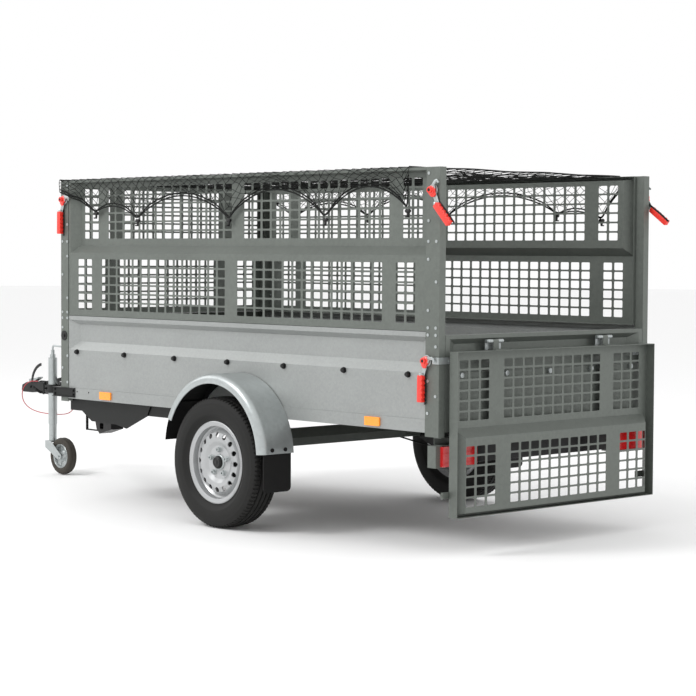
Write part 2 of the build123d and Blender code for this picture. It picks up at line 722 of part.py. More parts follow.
with BuildPart() as gate_hinge_pins:
    for side in (-1, 1):
        centre = side * gate_hinge_y
        rod((hinge_x, centre - leaf_half - 4, gate_hinge_z), (hinge_x, centre + leaf_half + 1, gate_hinge_z),
            hinge_pin_radius)
        rod((hinge_x, centre - leaf_half - 5, gate_hinge_z), (hinge_x, centre - leaf_half - 1, gate_hinge_z), 7)
save(gate_hinge_pins.part, "gate_hinge_pins")

gate_x = rear_x + 2 * gate_hinge_x
gate_top = gate_hinge_z - (top_z - gate_height - gate_hinge_z)
gate_plane = Plane(origin=(gate_x, 0, gate_top), x_dir=(0, 1, 0), z_dir=(-1, 0, 0))
save(mesh_panel(gate_plane, end_width, gate_height, 6, 20, end_blocks), "mesh_gate")

with BuildPart() as gate_fittings:
    catch_pair(rear_x - 3, latch_up_z, rear_x - 9, True)
    for side in (-1, 1):
        centre = side * gate_hinge_y
        block(gate_x - 7.5, gate_x + 37, centre - leaf_half, centre + leaf_half, gate_top, gate_top + 3)
        block(gate_x - 7.5, gate_x - 4.5, centre - middle_half, centre + middle_half, gate_top, gate_hinge_z)
        rod((hinge_x, centre - middle_half, gate_hinge_z), (hinge_x, centre + middle_half, gate_hinge_z), knuckle)
        rod((hinge_x, centre - middle_half - 1, gate_hinge_z), (hinge_x, centre + middle_half + 1, gate_hinge_z),
            hinge_pin_radius + running_clearance, mode=Mode.SUBTRACT)
save(gate_fittings.part, "gate_fittings")


# ---------------------------------------------------------------- latches
def latch_lever(pivot_x, pivot_z, angle):
    """A left-hand lever, closed when it points down; the angle swings its grip to the rear."""
    turn = radians(angle)
    face = Plane(origin=(pivot_x, -half, pivot_z), x_dir=(cos(turn), 0, sin(turn)), z_dir=(0, -1, 0))
    with BuildPart() as lever:
        with BuildSketch(face.offset(8)):
            Circle(15)
            outline([(-11, 9), (11, 9), (-grip_offset + 9, -75), (-grip_offset - 9, -75)])
        extrude(amount=4)
        with BuildSketch(face.offset(7)):
            Circle(6 + running_clearance)
        extrude(amount=6, mode=Mode.SUBTRACT)
        with BuildSketch(face.offset(12)):
            Circle(17)
        extrude(amount=9)
        with BuildSketch(face.offset(21)):
            Circle(11)
        extrude(amount=7)
        with BuildSketch(face.offset(6)):
            with Locations((-grip_offset, -(grip_start + grip_end) / 2)):
                RectangleRounded(2 * grip_half, grip_end - grip_start, 5)
        extrude(amount=18)
        for groove in range(7):
            level = -grip_start - 16 - groove * 12
            with BuildSketch(face.offset(22.5)):
                area(-grip_offset - grip_half - 1, -grip_offset + grip_half + 1, level - 2, level + 2)
            extrude(amount=3, mode=Mode.SUBTRACT)
        with BuildSketch(face.offset(4)):
            area(-18, -6, -grip_end - 6, -20)
        extrude(amount=2)
        with BuildSketch(face.offset(14)):
            outline([(12, -4), (12, 12), (40, 16), (50, 9), (50, -4), (43, -4), (41, 6), (24, 4)])
        extrude(amount=3.5)
    return lever.part


front_latch_x = 2 * mid_x - (rear_x + latch_up_x)
lever_low = latch_lever(rear_x + latch_low_x, latch_low_z, 0)
lever_up_left = latch_lever(rear_x + latch_up_x, latch_up_z, open_angle_left)
lever_up_right = latch_lever(rear_x + latch_up_x, latch_up_z, open_angle_right)
lever_front = latch_lever(front_latch_x, latch_up_z, 0)
save(lever_low, "latch_low_left")
mirrored(lever_low, "latch_low_right")
save(lever_up_left, "latch_up_left")
mirrored(lever_up_right, "latch_up_right")
save(lever_front, "latch_front_left")
mirrored(lever_front, "latch_front_right")

with BuildPart() as latch_plates:
    for side in (-1, 1):
        for place_x, place_z in ((rear_x + latch_low_x, latch_low_z), (rear_x + latch_up_x, latch_up_z),
                                 (front_latch_x, latch_up_z)):
            rod((place_x, side * half, place_z), (place_x, side * (half + 3), place_z), 21)
            rod((place_x, side * (half + 2), place_z), (place_x, side * (half + 11.5), place_z), 6)
        rod((front_x + 27, side * half, 799), (front_x + 27, side * (half + 3), 799), 24)
        rod((front_x + 27, side * (half + 3), 799), (front_x + 27, side * (half + 7), 799), 8)
save(latch_plates.part, "latch_plates")

# ---------------------------------------------------------------- overrun coupling and hand brake
housing_front = front_x - 1060
housing_rear = front_x - 780
pivot_brake = (front_x - 1048, 478)
with BuildPart() as overrun_housing:
    rod((housing_front, 0, tube_z), (housing_rear, 0, tube_z), housing_radius)
    block(front_x - 880, housing_rear - 5, -leg_top_y + drawbar_wide / 2 + 2, leg_top_y - drawbar_wide / 2 - 2,
          drawbar_foot, drawbar_top)
    block(front_x - 870, housing_rear, -80, 80, drawbar_top, drawbar_top + 6)
    block(front_x - 1056, front_x - 1010, -46.5, -20, 440, 462)
    sector_plane = Plane(origin=(pivot_brake[0], -46, pivot_brake[1]), x_dir=(1, 0, 0), z_dir=(0, -1, 0))
    with BuildSketch(sector_plane):
        Circle(118)
        Circle(102, mode=Mode.SUBTRACT)
        area(-130, 130, -130, 0, mode=Mode.SUBTRACT)
        area(-20, 130, -1, 130, mode=Mode.SUBTRACT)
        with PolarLocations(119, 16, start_angle=100, angular_range=75):
            Circle(3, mode=Mode.SUBTRACT)
        outline([(-112, -8), (-112, 12), (-8, 12), (42, -16), (42, -38), (-30, -38)])
        Circle(16)
        Circle(7 + running_clearance, mode=Mode.SUBTRACT)
    extrude(amount=4)
    rod((housing_front - 1, 0, tube_z), (housing_rear + 1, 0, tube_z), draw_tube_radius + running_clearance,
        mode=Mode.SUBTRACT)
save(overrun_housing.part, "overrun_housing")

lever_rise = radians(12)
lever_dir = (cos(lever_rise), 0, sin(lever_rise))
with BuildPart() as handbrake_lever:
    lever_plane = Plane(origin=(pivot_brake[0], -39, pivot_brake[1]), x_dir=lever_dir, z_dir=(0, -1, 0))
    with BuildSketch(lever_plane):
        Circle(15)
        outline([(0, 13), (250, 8), (250, -8), (0, -13)])
    extrude(amount=5)
    with BuildSketch(lever_plane):
        Circle(7)
    extrude(amount=13)
    tip = Vector(*lever_dir)
    grip_from = Vector(pivot_brake[0], -41.5, pivot_brake[1]) + tip * 240
    rod(grip_from, grip_from + tip * 115, 12)
    fillet(handbrake_lever.faces().sort_by(Axis.X)[-1].edges(), 5)
save(handbrake_lever.part, "handbrake_lever")

ball_x = nose_x + 34
head_rear = nose_x + 140
handle_pivot_x = nose_x + 55
with BuildPart() as coupling_head:
    with BuildSketch(Plane(origin=(0, -32, 0), x_dir=(1, 0, 0), z_dir=(0, 1, 0))):
        outline([(nose_x, -432), (nose_x + 20, -424), (head_rear - 30, -424), (head_rear, -430),
                 (head_rear, -480), (nose_x + 50, -480), (nose_x + 6, -462)])
    extrude(amount=64)
    fillet(coupling_head.edges().filter_by(Axis.Z), 12)
    fillet(coupling_head.edges().group_by(Axis.Z)[-1], 5)
    with Locations((ball_x, 0, 440)):
        Sphere(ball_radius + 0.2, mode=Mode.SUBTRACT)
    rod((ball_x, 0, 410), (ball_x, 0, 440), ball_radius + 0.2, mode=Mode.SUBTRACT)
    rod((head_rear - 1, 0, tube_z), (housing_rear - 60, 0, tube_z), draw_tube_radius)
    for place in (head_rear - 50, head_rear - 20):
        rod((place, -39, tube_z), (place, 39, tube_z), 7)
save(coupling_head.part, "coupling_head")

with BuildPart() as bellows:
    start = head_rear + gap
    stop = housing_front - gap
    folds = 6
    pitch = (stop - start) / folds
    with BuildSketch(Plane.XZ):
        with BuildLine():
            points = [(start, tube_z + draw_tube_radius + 0.3), (start, tube_z + 30)]
            for fold in range(folds):
                points.append((start + (fold + 0.5) * pitch, tube_z + 37))
                points.append((start + (fold + 1) * pitch, tube_z + 30))
            points.append((stop, tube_z + draw_tube_radius + 0.3))
            Polyline(*points, close=True)
        make_face()
    revolve(axis=Axis((0, 0, tube_z), (1, 0, 0)))
save(bellows.part, "bellows")

with BuildPart() as coupling_handle:
    with BuildSketch(Plane(origin=(0, 15, 0), x_dir=(1, 0, 0), z_dir=(0, -1, 0))):
        with Locations((handle_pivot_x, 489)):
            Circle(8)
        outline([(handle_pivot_x, 481.5), (handle_pivot_x, 497), (head_rear - 20, 506),
                 (head_rear, 512), (head_rear, 504), (head_rear - 24, 494), (handle_pivot_x + 40, 485)])
    extrude(amount=30)
    fillet(coupling_handle.edges().filter_by(Axis.Y).group_by(Axis.X)[-1], 2)
save(coupling_handle.part, "coupling_handle")

# ---------------------------------------------------------------- jockey wheel
tube_foot = 269.0
tube_top = 632.0
inner_foot = 178.0
inner_top = 520.0
clamp_low, clamp_high = 440.0, 485.0
spindle_radius = 8.0
with BuildPart() as jockey_clamp:
    rod((jockey_x, jockey_y, clamp_low), (jockey_x, jockey_y, clamp_high), 31)
    block(jockey_x - 24, jockey_x + 24, -60, -housing_radius - 0.5, clamp_low, clamp_high)
    block(jockey_x - 48, jockey_x, jockey_y - 12, jockey_y + 12, clamp_low + 6, clamp_high - 6)
    rod((jockey_x, jockey_y, clamp_low - 1), (jockey_x, jockey_y, clamp_high + 1),
        jockey_tube_radius + running_clearance, mode=Mode.SUBTRACT)
    block(jockey_x - 49, jockey_x - 20, jockey_y - 2, jockey_y + 2, clamp_low, clamp_high,
          mode=Mode.SUBTRACT)
    rod((jockey_x - 38, jockey_y - 34, 462), (jockey_x - 38, jockey_y + 22, 462), 6)
    rod((jockey_x - 38, jockey_y - 34, 430), (jockey_x - 38, jockey_y - 34, 494), 5)
save(jockey_clamp.part, "jockey_clamp")

with BuildPart() as jockey_outer:
    rod((jockey_x, jockey_y, tube_foot), (jockey_x, jockey_y, tube_top), jockey_tube_radius)
    rod((jockey_x, jockey_y, tube_foot - 1), (jockey_x, jockey_y, tube_top - 5),
        jockey_inner_radius + running_clearance, mode=Mode.SUBTRACT)
    rod((jockey_x, jockey_y, tube_top - 6), (jockey_x, jockey_y, tube_top + 1),
        spindle_radius + running_clearance, mode=Mode.SUBTRACT)
save(jockey_outer.part, "jockey_outer_tube")

with BuildPart() as jockey_inner:
    rod((jockey_x, jockey_y, inner_foot), (jockey_x, jockey_y, inner_top), jockey_inner_radius)
    rod((jockey_x, jockey_y, inner_foot + 6), (jockey_x, jockey_y, inner_top - 20),
        jockey_inner_radius - 3, mode=Mode.SUBTRACT)
    rod((jockey_x, jockey_y, inner_top - 21), (jockey_x, jockey_y, inner_top + 1),
        spindle_radius + running_clearance, mode=Mode.SUBTRACT)
    rod((jockey_x, jockey_y, inner_foot - 10), (jockey_x, jockey_y, inner_foot + 1), 10)
save(jockey_inner.part, "jockey_inner_tube")

with BuildPart() as jockey_crank:
    rod((jockey_x, jockey_y, 300), (jockey_x, jockey_y, tube_top + 1), spindle_radius)
    rod((jockey_x, jockey_y, tube_top + 0.5), (jockey_x, jockey_y, tube_top + 18), 15)
    rod((jockey_x, jockey_y, tube_top + 18), (jockey_x, jockey_y, tube_top + 42), 10)
    with BuildLine() as crank_line:
        FilletPolyline((jockey_x, jockey_y, tube_top + 40), (jockey_x, jockey_y, tube_top + 66),
                       (jockey_x + 105, jockey_y, tube_top + 62), (jockey_x + 108, jockey_y, tube_top + 30),
                       radius=12)
    with BuildSketch(Plane(origin=crank_line.line @ 0, z_dir=crank_line.line % 0)):
        Circle(5)
    sweep(path=crank_line.line)
    rod((jockey_x + 107, jockey_y, tube_top + 40), (jockey_x + 111, jockey_y, tube_top - 16), 10)
save(jockey_crank.part, "jockey_crank")

cheek_inner = jockey_wheel_width / 2 + 4
with BuildPart() as jockey_fork:
    block(jockey_x - 26, jockey_x + 26, jockey_y - cheek_inner - 4, jockey_y + cheek_inner + 4,
          inner_foot - 5, inner_foot - 0.3)
    for side in (-1, 1):
        with BuildSketch(Plane(origin=(0, jockey_y + side * cheek_inner, 0), x_dir=(1, 0, 0), z_dir=(0, -1, 0))):
            outline([(jockey_x - 26, inner_foot - 0.3), (jockey_x + 26, inner_foot - 0.3),
                     (jockey_hub_x + 12, jockey_hub_z + 14), (jockey_hub_x + 12, jockey_hub_z - 14),
                     (jockey_hub_x - 14, jockey_hub_z - 16), (jockey_x - 26, inner_foot - 38)])
            with Locations((jockey_hub_x + 8, jockey_hub_z)):
                Circle(14.5)
        extrude(amount=-side * 4)
    rod((jockey_x, jockey_y, inner_foot - 20), (jockey_x, jockey_y, inner_foot + 1),
        10 + running_clearance, mode=Mode.SUBTRACT)
    rod((jockey_hub_x, jockey_y - cheek_inner - 10, jockey_hub_z),
        (jockey_hub_x, jockey_y + cheek_inner + 10, jockey_hub_z), 6)
save(jockey_fork.part, "jockey_fork")

with BuildPart() as jockey_wheel:
    hub_plane = Plane(origin=(jockey_hub_x, jockey_y - jockey_wheel_width / 2, jockey_hub_z),
                      x_dir=(1, 0, 0), z_dir=(0, 1, 0))
    with BuildSketch(hub_plane):
        Circle(jockey_wheel_diameter / 2)
    extrude(amount=jockey_wheel_width)
    fillet(jockey_wheel.edges(), 14)
    for side in (-1, 1):
        dish = Plane(origin=(jockey_hub_x, jockey_y + side * jockey_wheel_width / 2, jockey_hub_z),
                     x_dir=(1, 0, 0), z_dir=(0, side, 0))
        with BuildSketch(dish):
            Circle(60)
            Circle(20, mode=Mode.SUBTRACT)
        extrude(amount=-16, taper=20, mode=Mode.SUBTRACT)
    rod((jockey_hub_x, jockey_y - 40, jockey_hub_z), (jockey_hub_x, jockey_y + 40, jockey_hub_z),
        6 + running_clearance, mode=Mode.SUBTRACT)
save(jockey_wheel.part, "jockey_wheel")

# ---------------------------------------------------------------- brake rod and breakaway cable
with BuildPart() as brake_rod:
    rod((housing_rear + 3, 0, 448), (beam_x - 60, 0, 448), 5)
    block(beam_x - 66, beam_x - 60, -60, 60, 438, 458)
    for side in (-1, 1):
        with BuildLine() as cable_line:
            FilletPolyline((beam_x - 62, side * 50, 448), (beam_x - 150, side * 130, 430),
                           (beam_x - 130, side * 330, 405), (beam_x - 60, side * 520, 312),
                           (axle_x - 50, side * 640, 255), (axle_x - 45, side * 699, 255), radius=55)
        with BuildSketch(Plane(origin=cable_line.line @ 0, z_dir=cable_line.line % 0)):
            Circle(4)
        sweep(path=cable_line.line)
save(brake_rod.part, "brake_rod")

cable_radius = 2.5
cable_points = [(-1090, -56, 491), (-1128, -58, 492), (-1168, -60, 486), (-1206, -60, 468),
                (-1232, -60, 440), (-1241, -59, 408), (-1232, -58, 377), (-1205, -56, 352),
                (-1166, -53, 334), (-1120, -49, 323), (-1070, -44, 317), (-1018, -40, 315),
                (-964, -38, 315), (-908, -37, 317), (-856, -37, 322), (-812, -38, 333),
                (-780, -40, 352), (-760, -42, 378), (-752, -44, 406), (-750, -45, 432)]
cable_route = [Vector(front_x + x, y, z) for x, y, z in cable_points]
cable_radii = []
for before, corner, after in zip(cable_route, cable_route[1:], cable_route[2:]):
    turn = radians((corner - before).get_angle(after - corner))
    shorter = min((corner - before).length, (after - corner).length)
    cable_radii.append(0.45 * shorter / max(1e-6, abs(sin(turn / 2) / cos(turn / 2))))
print("cable bend radii", [round(radius) for radius in cable_radii])
with BuildPart() as breakaway_cable:
    with BuildLine() as cable_path:
        FilletPolyline(*cable_route, radius=cable_radii)
    with BuildSketch(Plane(origin=cable_path.line @ 0, z_dir=cable_path.line % 0)):
        Circle(cable_radius)
    sweep(path=cable_path.line)
cable_length = sum(edge.length for edge in cable_path.edges())
expected = pi * cable_radius**2 * cable_length
print("cable length", round(cable_length), "volume ratio", breakaway_cable.part.volume / expected)
save(breakaway_cable.part, "breakaway_cable")

# ---------------------------------------------------------------- cargo net
net_front = front_x - 2
net_rear = rear_x - 170
net_side = half + 4
net_top = top_z + 2
with BuildPart() as cargo_net:
    block(net_front - net_sheet, net_rear, -net_side - net_sheet, net_side + net_sheet,
          net_top, net_top + net_sheet)
    for side in (-1, 1):
        block(front_x + 90, net_rear, side * net_side, side * (net_side + net_sheet), net_foot, net_top)
    block(net_front - net_sheet, net_front, -end_half, end_half, net_foot, net_top)
save(cargo_net.part, "cargo_net")
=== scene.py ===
"""Looks of a single-axle livestock trailer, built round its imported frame."""
import json
import math
import random

import bmesh
import bpy
from bpy.props import FloatProperty, FloatVectorProperty, IntProperty, PointerProperty
from mathutils import Matrix, Vector


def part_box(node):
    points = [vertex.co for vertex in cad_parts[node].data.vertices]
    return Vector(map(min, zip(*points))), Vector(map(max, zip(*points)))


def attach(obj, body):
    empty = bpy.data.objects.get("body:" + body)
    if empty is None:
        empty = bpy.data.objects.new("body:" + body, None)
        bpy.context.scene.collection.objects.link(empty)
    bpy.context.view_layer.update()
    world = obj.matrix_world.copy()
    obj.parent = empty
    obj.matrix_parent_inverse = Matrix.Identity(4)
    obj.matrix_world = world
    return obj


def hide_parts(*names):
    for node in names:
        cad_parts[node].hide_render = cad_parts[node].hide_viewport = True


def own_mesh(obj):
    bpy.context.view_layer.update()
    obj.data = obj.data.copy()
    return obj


bl_info = {
    "name": "Livestock trailer",
    "version": (1, 0, 0),
    "blender": (4, 5, 0),
    "location": "3D Viewport > Sidebar > Trailer",
    "description": "Builds the tyres, latches, net and finishes of a livestock trailer",
    "category": "Object",
}

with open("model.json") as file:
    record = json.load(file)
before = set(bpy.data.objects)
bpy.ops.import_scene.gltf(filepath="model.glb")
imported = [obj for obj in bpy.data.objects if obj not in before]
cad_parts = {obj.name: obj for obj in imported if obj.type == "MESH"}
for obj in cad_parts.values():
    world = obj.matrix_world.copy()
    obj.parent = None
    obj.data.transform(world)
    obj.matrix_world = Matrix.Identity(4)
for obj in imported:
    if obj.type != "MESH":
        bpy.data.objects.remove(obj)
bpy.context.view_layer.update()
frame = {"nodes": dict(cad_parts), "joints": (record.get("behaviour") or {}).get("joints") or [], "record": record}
NODES = frame["nodes"]
PIVOT = {joint["name"]: joint.get("pos_m") for joint in frame["joints"]}
MM = 0.001

# Places read from the frame
HALF = -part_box("post_rear_left")[0].y
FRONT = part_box("post_front_left")[0].x
TYRE_LOW, TYRE_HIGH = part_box("tyre_left")
AXLE = Vector(((TYRE_LOW.x + TYRE_HIGH.x) / 2, (TYRE_LOW.y + TYRE_HIGH.y) / 2, PIVOT["wheel_spin_left"][2]))


# ---------------------------------------------------------------- sizes and colours
def colour_setting(name, description, default):
    """A colour that a user can change."""
    return FloatVectorProperty(name=name, description=description, subtype="COLOR", size=3,
                               min=0.0, max=1.0, default=default)


def length_setting(name, description, default):
    """A length in metres that a user can change."""
    return FloatProperty(name=name, description=description, subtype="DISTANCE", unit="LENGTH",
                         min=0.0, default=default)


class TrailerColours(bpy.types.PropertyGroup):
    """Colours of the sheet metal, rubber and plastic"""

    wall: colour_setting("Wall zinc", "Light galvanised side walls and sills", (0.305, 0.318, 0.312))
    panel: colour_setting("Panel zinc", "Aged galvanised mesh panels and posts", (0.128, 0.142, 0.128))
    bright: colour_setting("Bright zinc", "Mudguards, bolts and jockey tubes", (0.43, 0.46, 0.46))
    rim: colour_setting("Rim silver", "Painted steel rims", (0.43, 0.44, 0.445))
    black: colour_setting("Black steel", "Coated drawbar and brackets", (0.007, 0.008, 0.0075))
    tyre: colour_setting("Tyre rubber", "Road tyres and flaps", (0.012, 0.012, 0.0115))
    grip: colour_setting("Latch red", "Moulded latch grips", (0.86, 0.036, 0.022))
    amber: colour_setting("Amber", "Side reflectors", (1.0, 0.30, 0.008))
    lamp: colour_setting("Lamp red", "Rear lamp lenses", (0.55, 0.010, 0.012))
    wood: colour_setting("Floor board", "Film-faced plywood floor", (0.055, 0.040, 0.030))
    net: colour_setting("Net black", "Cargo net and elastic", (0.010, 0.011, 0.010))


class TrailerSizes(bpy.types.PropertyGroup):
    """Sizes of the soft and moulded pieces"""

    net_along: IntProperty(name="Net cells along", description="Meshes of the net along the trailer",
                           default=44, min=4)
    net_across: IntProperty(name="Net cells across", description="Meshes of the net over the roof",
                            default=24, min=4)
    net_hang: IntProperty(name="Net cells hanging", description="Meshes in each hanging side of the net",
                          default=4, min=1)
    net_strand: length_setting("Net strand", "Width of one strand of the net", 0.0036)
    elastic: length_setting("Elastic cord", "Diameter of the elastic edge cord", 0.0065)
    cable: length_setting("Cable", "Diameter of the breakaway cable", 0.005)
    grip_ribs: IntProperty(name="Grip ribs", description="Scallops along one latch grip", default=5, min=2)
    guard: length_setting("Mudguard", "Outer radius of the mudguards", 0.350)
    tread_steps: IntProperty(name="Tread steps", description="Steps round a tyre", default=180, min=24)


# ---------------------------------------------------------------- modelling
def put_down():
    """Leave edit mode and let go of everything."""
    if bpy.context.object is not None and bpy.context.object.mode != "OBJECT":
        bpy.ops.object.mode_set(mode="OBJECT")
    bpy.ops.object.select_all(action="DESELECT")


def pick_up(*pieces):
    """Select pieces alone, the first one active."""
    put_down()
    for piece in pieces:
        piece.select_set(True)
    bpy.context.view_layer.objects.active = pieces[0]


def edit(piece, kind="FACE"):
    """Open one piece in edit mode."""
    pick_up(piece)
    bpy.ops.object.mode_set(mode="EDIT")
    bpy.ops.mesh.select_mode(type=kind)


def choose(piece, test):
    """Select the faces whose centre and normal pass a test, and stay in edit mode."""
    edit(piece)
    bpy.ops.mesh.select_all(action="DESELECT")
    mesh = bmesh.from_edit_mesh(piece.data)
    for face in mesh.faces:
        face.select = bool(test(face.calc_center_median(), face.normal))
    mesh.select_flush_mode()
    bmesh.update_edit_mesh(piece.data)


def trace(name, points):
    """Draw a line from point to point, starting from one vertex of a small plane."""
    put_down()
    bpy.ops.mesh.primitive_plane_add(size=0.01, location=points[0])
    piece = bpy.context.object
    piece.name = name
    bpy.ops.object.mode_set(mode="EDIT")
    bpy.ops.mesh.select_mode(type="VERT")
    bpy.ops.mesh.select_all(action="SELECT")
    bpy.ops.mesh.merge(type="CENTER")
    for here, there in zip(points, points[1:]):
        step = Vector(there) - Vector(here)
        bpy.ops.mesh.extrude_region_move(TRANSFORM_OT_translate={"value": step})
    bpy.ops.mesh.select_mode(type="VERT")
    mesh = bmesh.from_edit_mesh(piece.data)
    for vertex in mesh.verts:
        vertex.select = len(vertex.link_edges) == 1
    mesh.select_flush_mode()
    bmesh.update_edit_mesh(piece.data)
    bpy.ops.mesh.edge_face_add()
    bpy.ops.mesh.select_all(action="SELECT")
    return piece


def outward(piece, inward=False):
    """Merge doubles and point the faces outwards."""
    edit(piece)
    bpy.ops.mesh.select_all(action="SELECT")
    bpy.ops.mesh.remove_doubles(threshold=0.00002)
    bpy.ops.mesh.normals_make_consistent(inside=inward)
    put_down()
    return piece


def settle(piece):
    """Put the object back at the origin, with its place in its mesh."""
    pick_up(piece)
    bpy.ops.object.transform_apply(location=True, rotation=True, scale=True)
    put_down()
    return piece


def spun(name, section, centre, axis, steps=96, arc=2 * math.pi, start=0.0):
    """Turn a section of (along, radius) points, in millimetres, about an axis through centre."""
    axis = Vector(axis).normalized()
    side = Vector((0, 0, 1)) if abs(axis.z) < 0.5 else Vector((1, 0, 0))
    centre = Vector(centre)
    if start:
        side = Matrix.Rotation(start, 3, axis) @ side
    points = [centre + axis * along * MM + side * radius * MM for along, radius in section]
    piece = trace(name, points)
    if arc < 6.28:
        bpy.ops.mesh.edge_face_add()
        bpy.ops.mesh.select_all(action="SELECT")
    bpy.ops.mesh.spin(steps=steps, angle=arc, center=centre, axis=axis)
    return settle(outward(piece))


def prism(name, outline, origin, right, up, depth):
    """A flat outline in millimetres, extruded along right x up by a depth in metres."""
    right, up, origin = Vector(right), Vector(up), Vector(origin)
    points = [origin + right * x * MM + up * z * MM for x, z in outline]
    piece = trace(name, points)
    bpy.ops.mesh.edge_face_add()
    bpy.ops.mesh.select_all(action="SELECT")
    bpy.ops.mesh.extrude_region_move(TRANSFORM_OT_translate={"value": right.cross(up) * depth})
    return settle(outward(piece))


def rounded(piece, width, segments=2, angle=40):
    """Bevel the sharp edges."""
    pick_up(piece)
    soft = piece.modifiers.new("Rounding", "BEVEL")
    soft.width, soft.segments, soft.limit_method = width, segments, "ANGLE"
    soft.angle_limit = math.radians(angle)
    bpy.ops.object.modifier_apply(modifier=soft.name)
    put_down()
    return piece


def smooth(piece, angle=35):
    """Shade a piece smooth up to an angle in degrees."""
    pick_up(piece)
    bpy.ops.object.shade_smooth_by_angle(angle=math.radians(angle))
    put_down()
    return piece


def joined(name, *pieces):
    """Join pieces into the first one and name it."""
    pick_up(*pieces)
    if len(pieces) > 1:
        bpy.ops.object.join()
    pieces[0].name = name
    put_down()
    return pieces[0]


def copied(piece, name, matrix):
    """A copy with its own mesh, moved by a matrix; a mirrored copy keeps its faces outwards."""
    twin = piece.copy()
    twin.data = piece.data.copy()
    twin.name = name
    bpy.context.collection.objects.link(twin)
    twin.data.transform(matrix)
    if matrix.determinant() < 0:
        twin.data.flip_normals()
    return twin


MIRROR = Matrix.Diagonal((1, -1, 1, 1))


def hand_over(piece, body, slot, material, *nodes):
    """Give a finished piece its material and its body, and hide the CAD nodes that it stands for."""
    piece.data.materials.clear()
    piece.data.materials.append(material)
    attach(piece, body)
    if nodes:
        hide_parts(*nodes)
    return piece


# ---------------------------------------------------------------- shared shader groups
def node_group(name, inputs, outputs):
    """A new shader node group with its sockets, nodes, links, group input and group output."""
    group = bpy.data.node_groups.new(name, "ShaderNodeTree")
    for label, kind, value in inputs:
        socket = group.interface.new_socket(label, in_out="INPUT", socket_type=kind)
        socket.default_value = value
    for label, kind in outputs:
        group.interface.new_socket(label, in_out="OUTPUT", socket_type=kind)
    nodes, links = group.nodes, group.links
    return group, nodes, links, nodes.new("NodeGroupInput"), nodes.new("NodeGroupOutput")


def math_node(nodes, links, operation, first, second=None):
    """A math node fed by numbers or sockets; gives its output."""
    node = nodes.new("ShaderNodeMath")
    node.operation = operation
    for index, value in enumerate((first, second)):
        if value is None:
            continue
        if isinstance(value, (int, float)):
            node.inputs[index].default_value = value
        else:
            links.new(value, node.inputs[index])
    return node.outputs[0]


def noise_node(nodes, links, vector, scale, detail=3.0, roughness=0.5):
    """A noise texture read at a vector."""
    node = nodes.new("ShaderNodeTexNoise")
    links.new(vector, node.inputs["Vector"])
    if isinstance(scale, (int, float)):
        node.inputs["Scale"].default_value = scale
    else:
        links.new(scale, node.inputs["Scale"])
    node.inputs["Detail"].default_value = detail
    node.inputs["Roughness"].default_value = roughness
    return node.outputs["Fac"]


def tinted(nodes, links, colour, factor):
    """A colour times a factor that changes over the surface."""
    node = nodes.new("ShaderNodeVectorMath")
    node.operation = "SCALE"
    links.new(colour, node.inputs[0])
    links.new(factor, node.inputs["Scale"])
    return node.outputs[0]


def make_spangle():
    """Crystals and clouds of zinc on sheet metal."""
    group, nodes, links, given, out = node_group(
        "Zinc spangle",
        (("Colour", "NodeSocketColor", (0.5, 0.5, 0.5, 1)), ("Crystal", "NodeSocketFloat", 90.0),
         ("Contrast", "NodeSocketFloat", 0.16), ("Roughness", "NodeSocketFloat", 0.45)),
        (("Colour", "NodeSocketColor"), ("Roughness", "NodeSocketFloat"), ("Height", "NodeSocketFloat")))
    place = nodes.new("ShaderNodeTexCoord").outputs["Object"]
    cells = nodes.new("ShaderNodeTexVoronoi")
    links.new(place, cells.inputs["Vector"])
    links.new(given.outputs["Crystal"], cells.inputs["Scale"])
    tone = nodes.new("ShaderNodeSeparateColor")
    links.new(cells.outputs["Color"], tone.inputs[0])
    clouds = noise_node(nodes, links, place, 4.0, 4.0)
    fine = noise_node(nodes, links, place, 240.0, 2.0)
    mixed = math_node(nodes, links, "ADD", math_node(nodes, links, "MULTIPLY", tone.outputs[0], 0.45),
                      math_node(nodes, links, "ADD", math_node(nodes, links, "MULTIPLY", clouds, 0.75),
                                math_node(nodes, links, "MULTIPLY", fine, 0.30)))
    centred = math_node(nodes, links, "SUBTRACT", mixed, 0.75)
    swing = math_node(nodes, links, "MULTIPLY", centred, given.outputs["Contrast"])
    factor = math_node(nodes, links, "ADD", math_node(nodes, links, "MULTIPLY", swing, 2.0), 1.0)
    links.new(tinted(nodes, links, given.outputs["Colour"], factor), out.inputs["Colour"])
    links.new(math_node(nodes, links, "ADD", given.outputs["Roughness"], swing), out.inputs["Roughness"])
    links.new(mixed, out.inputs["Height"])
    return group


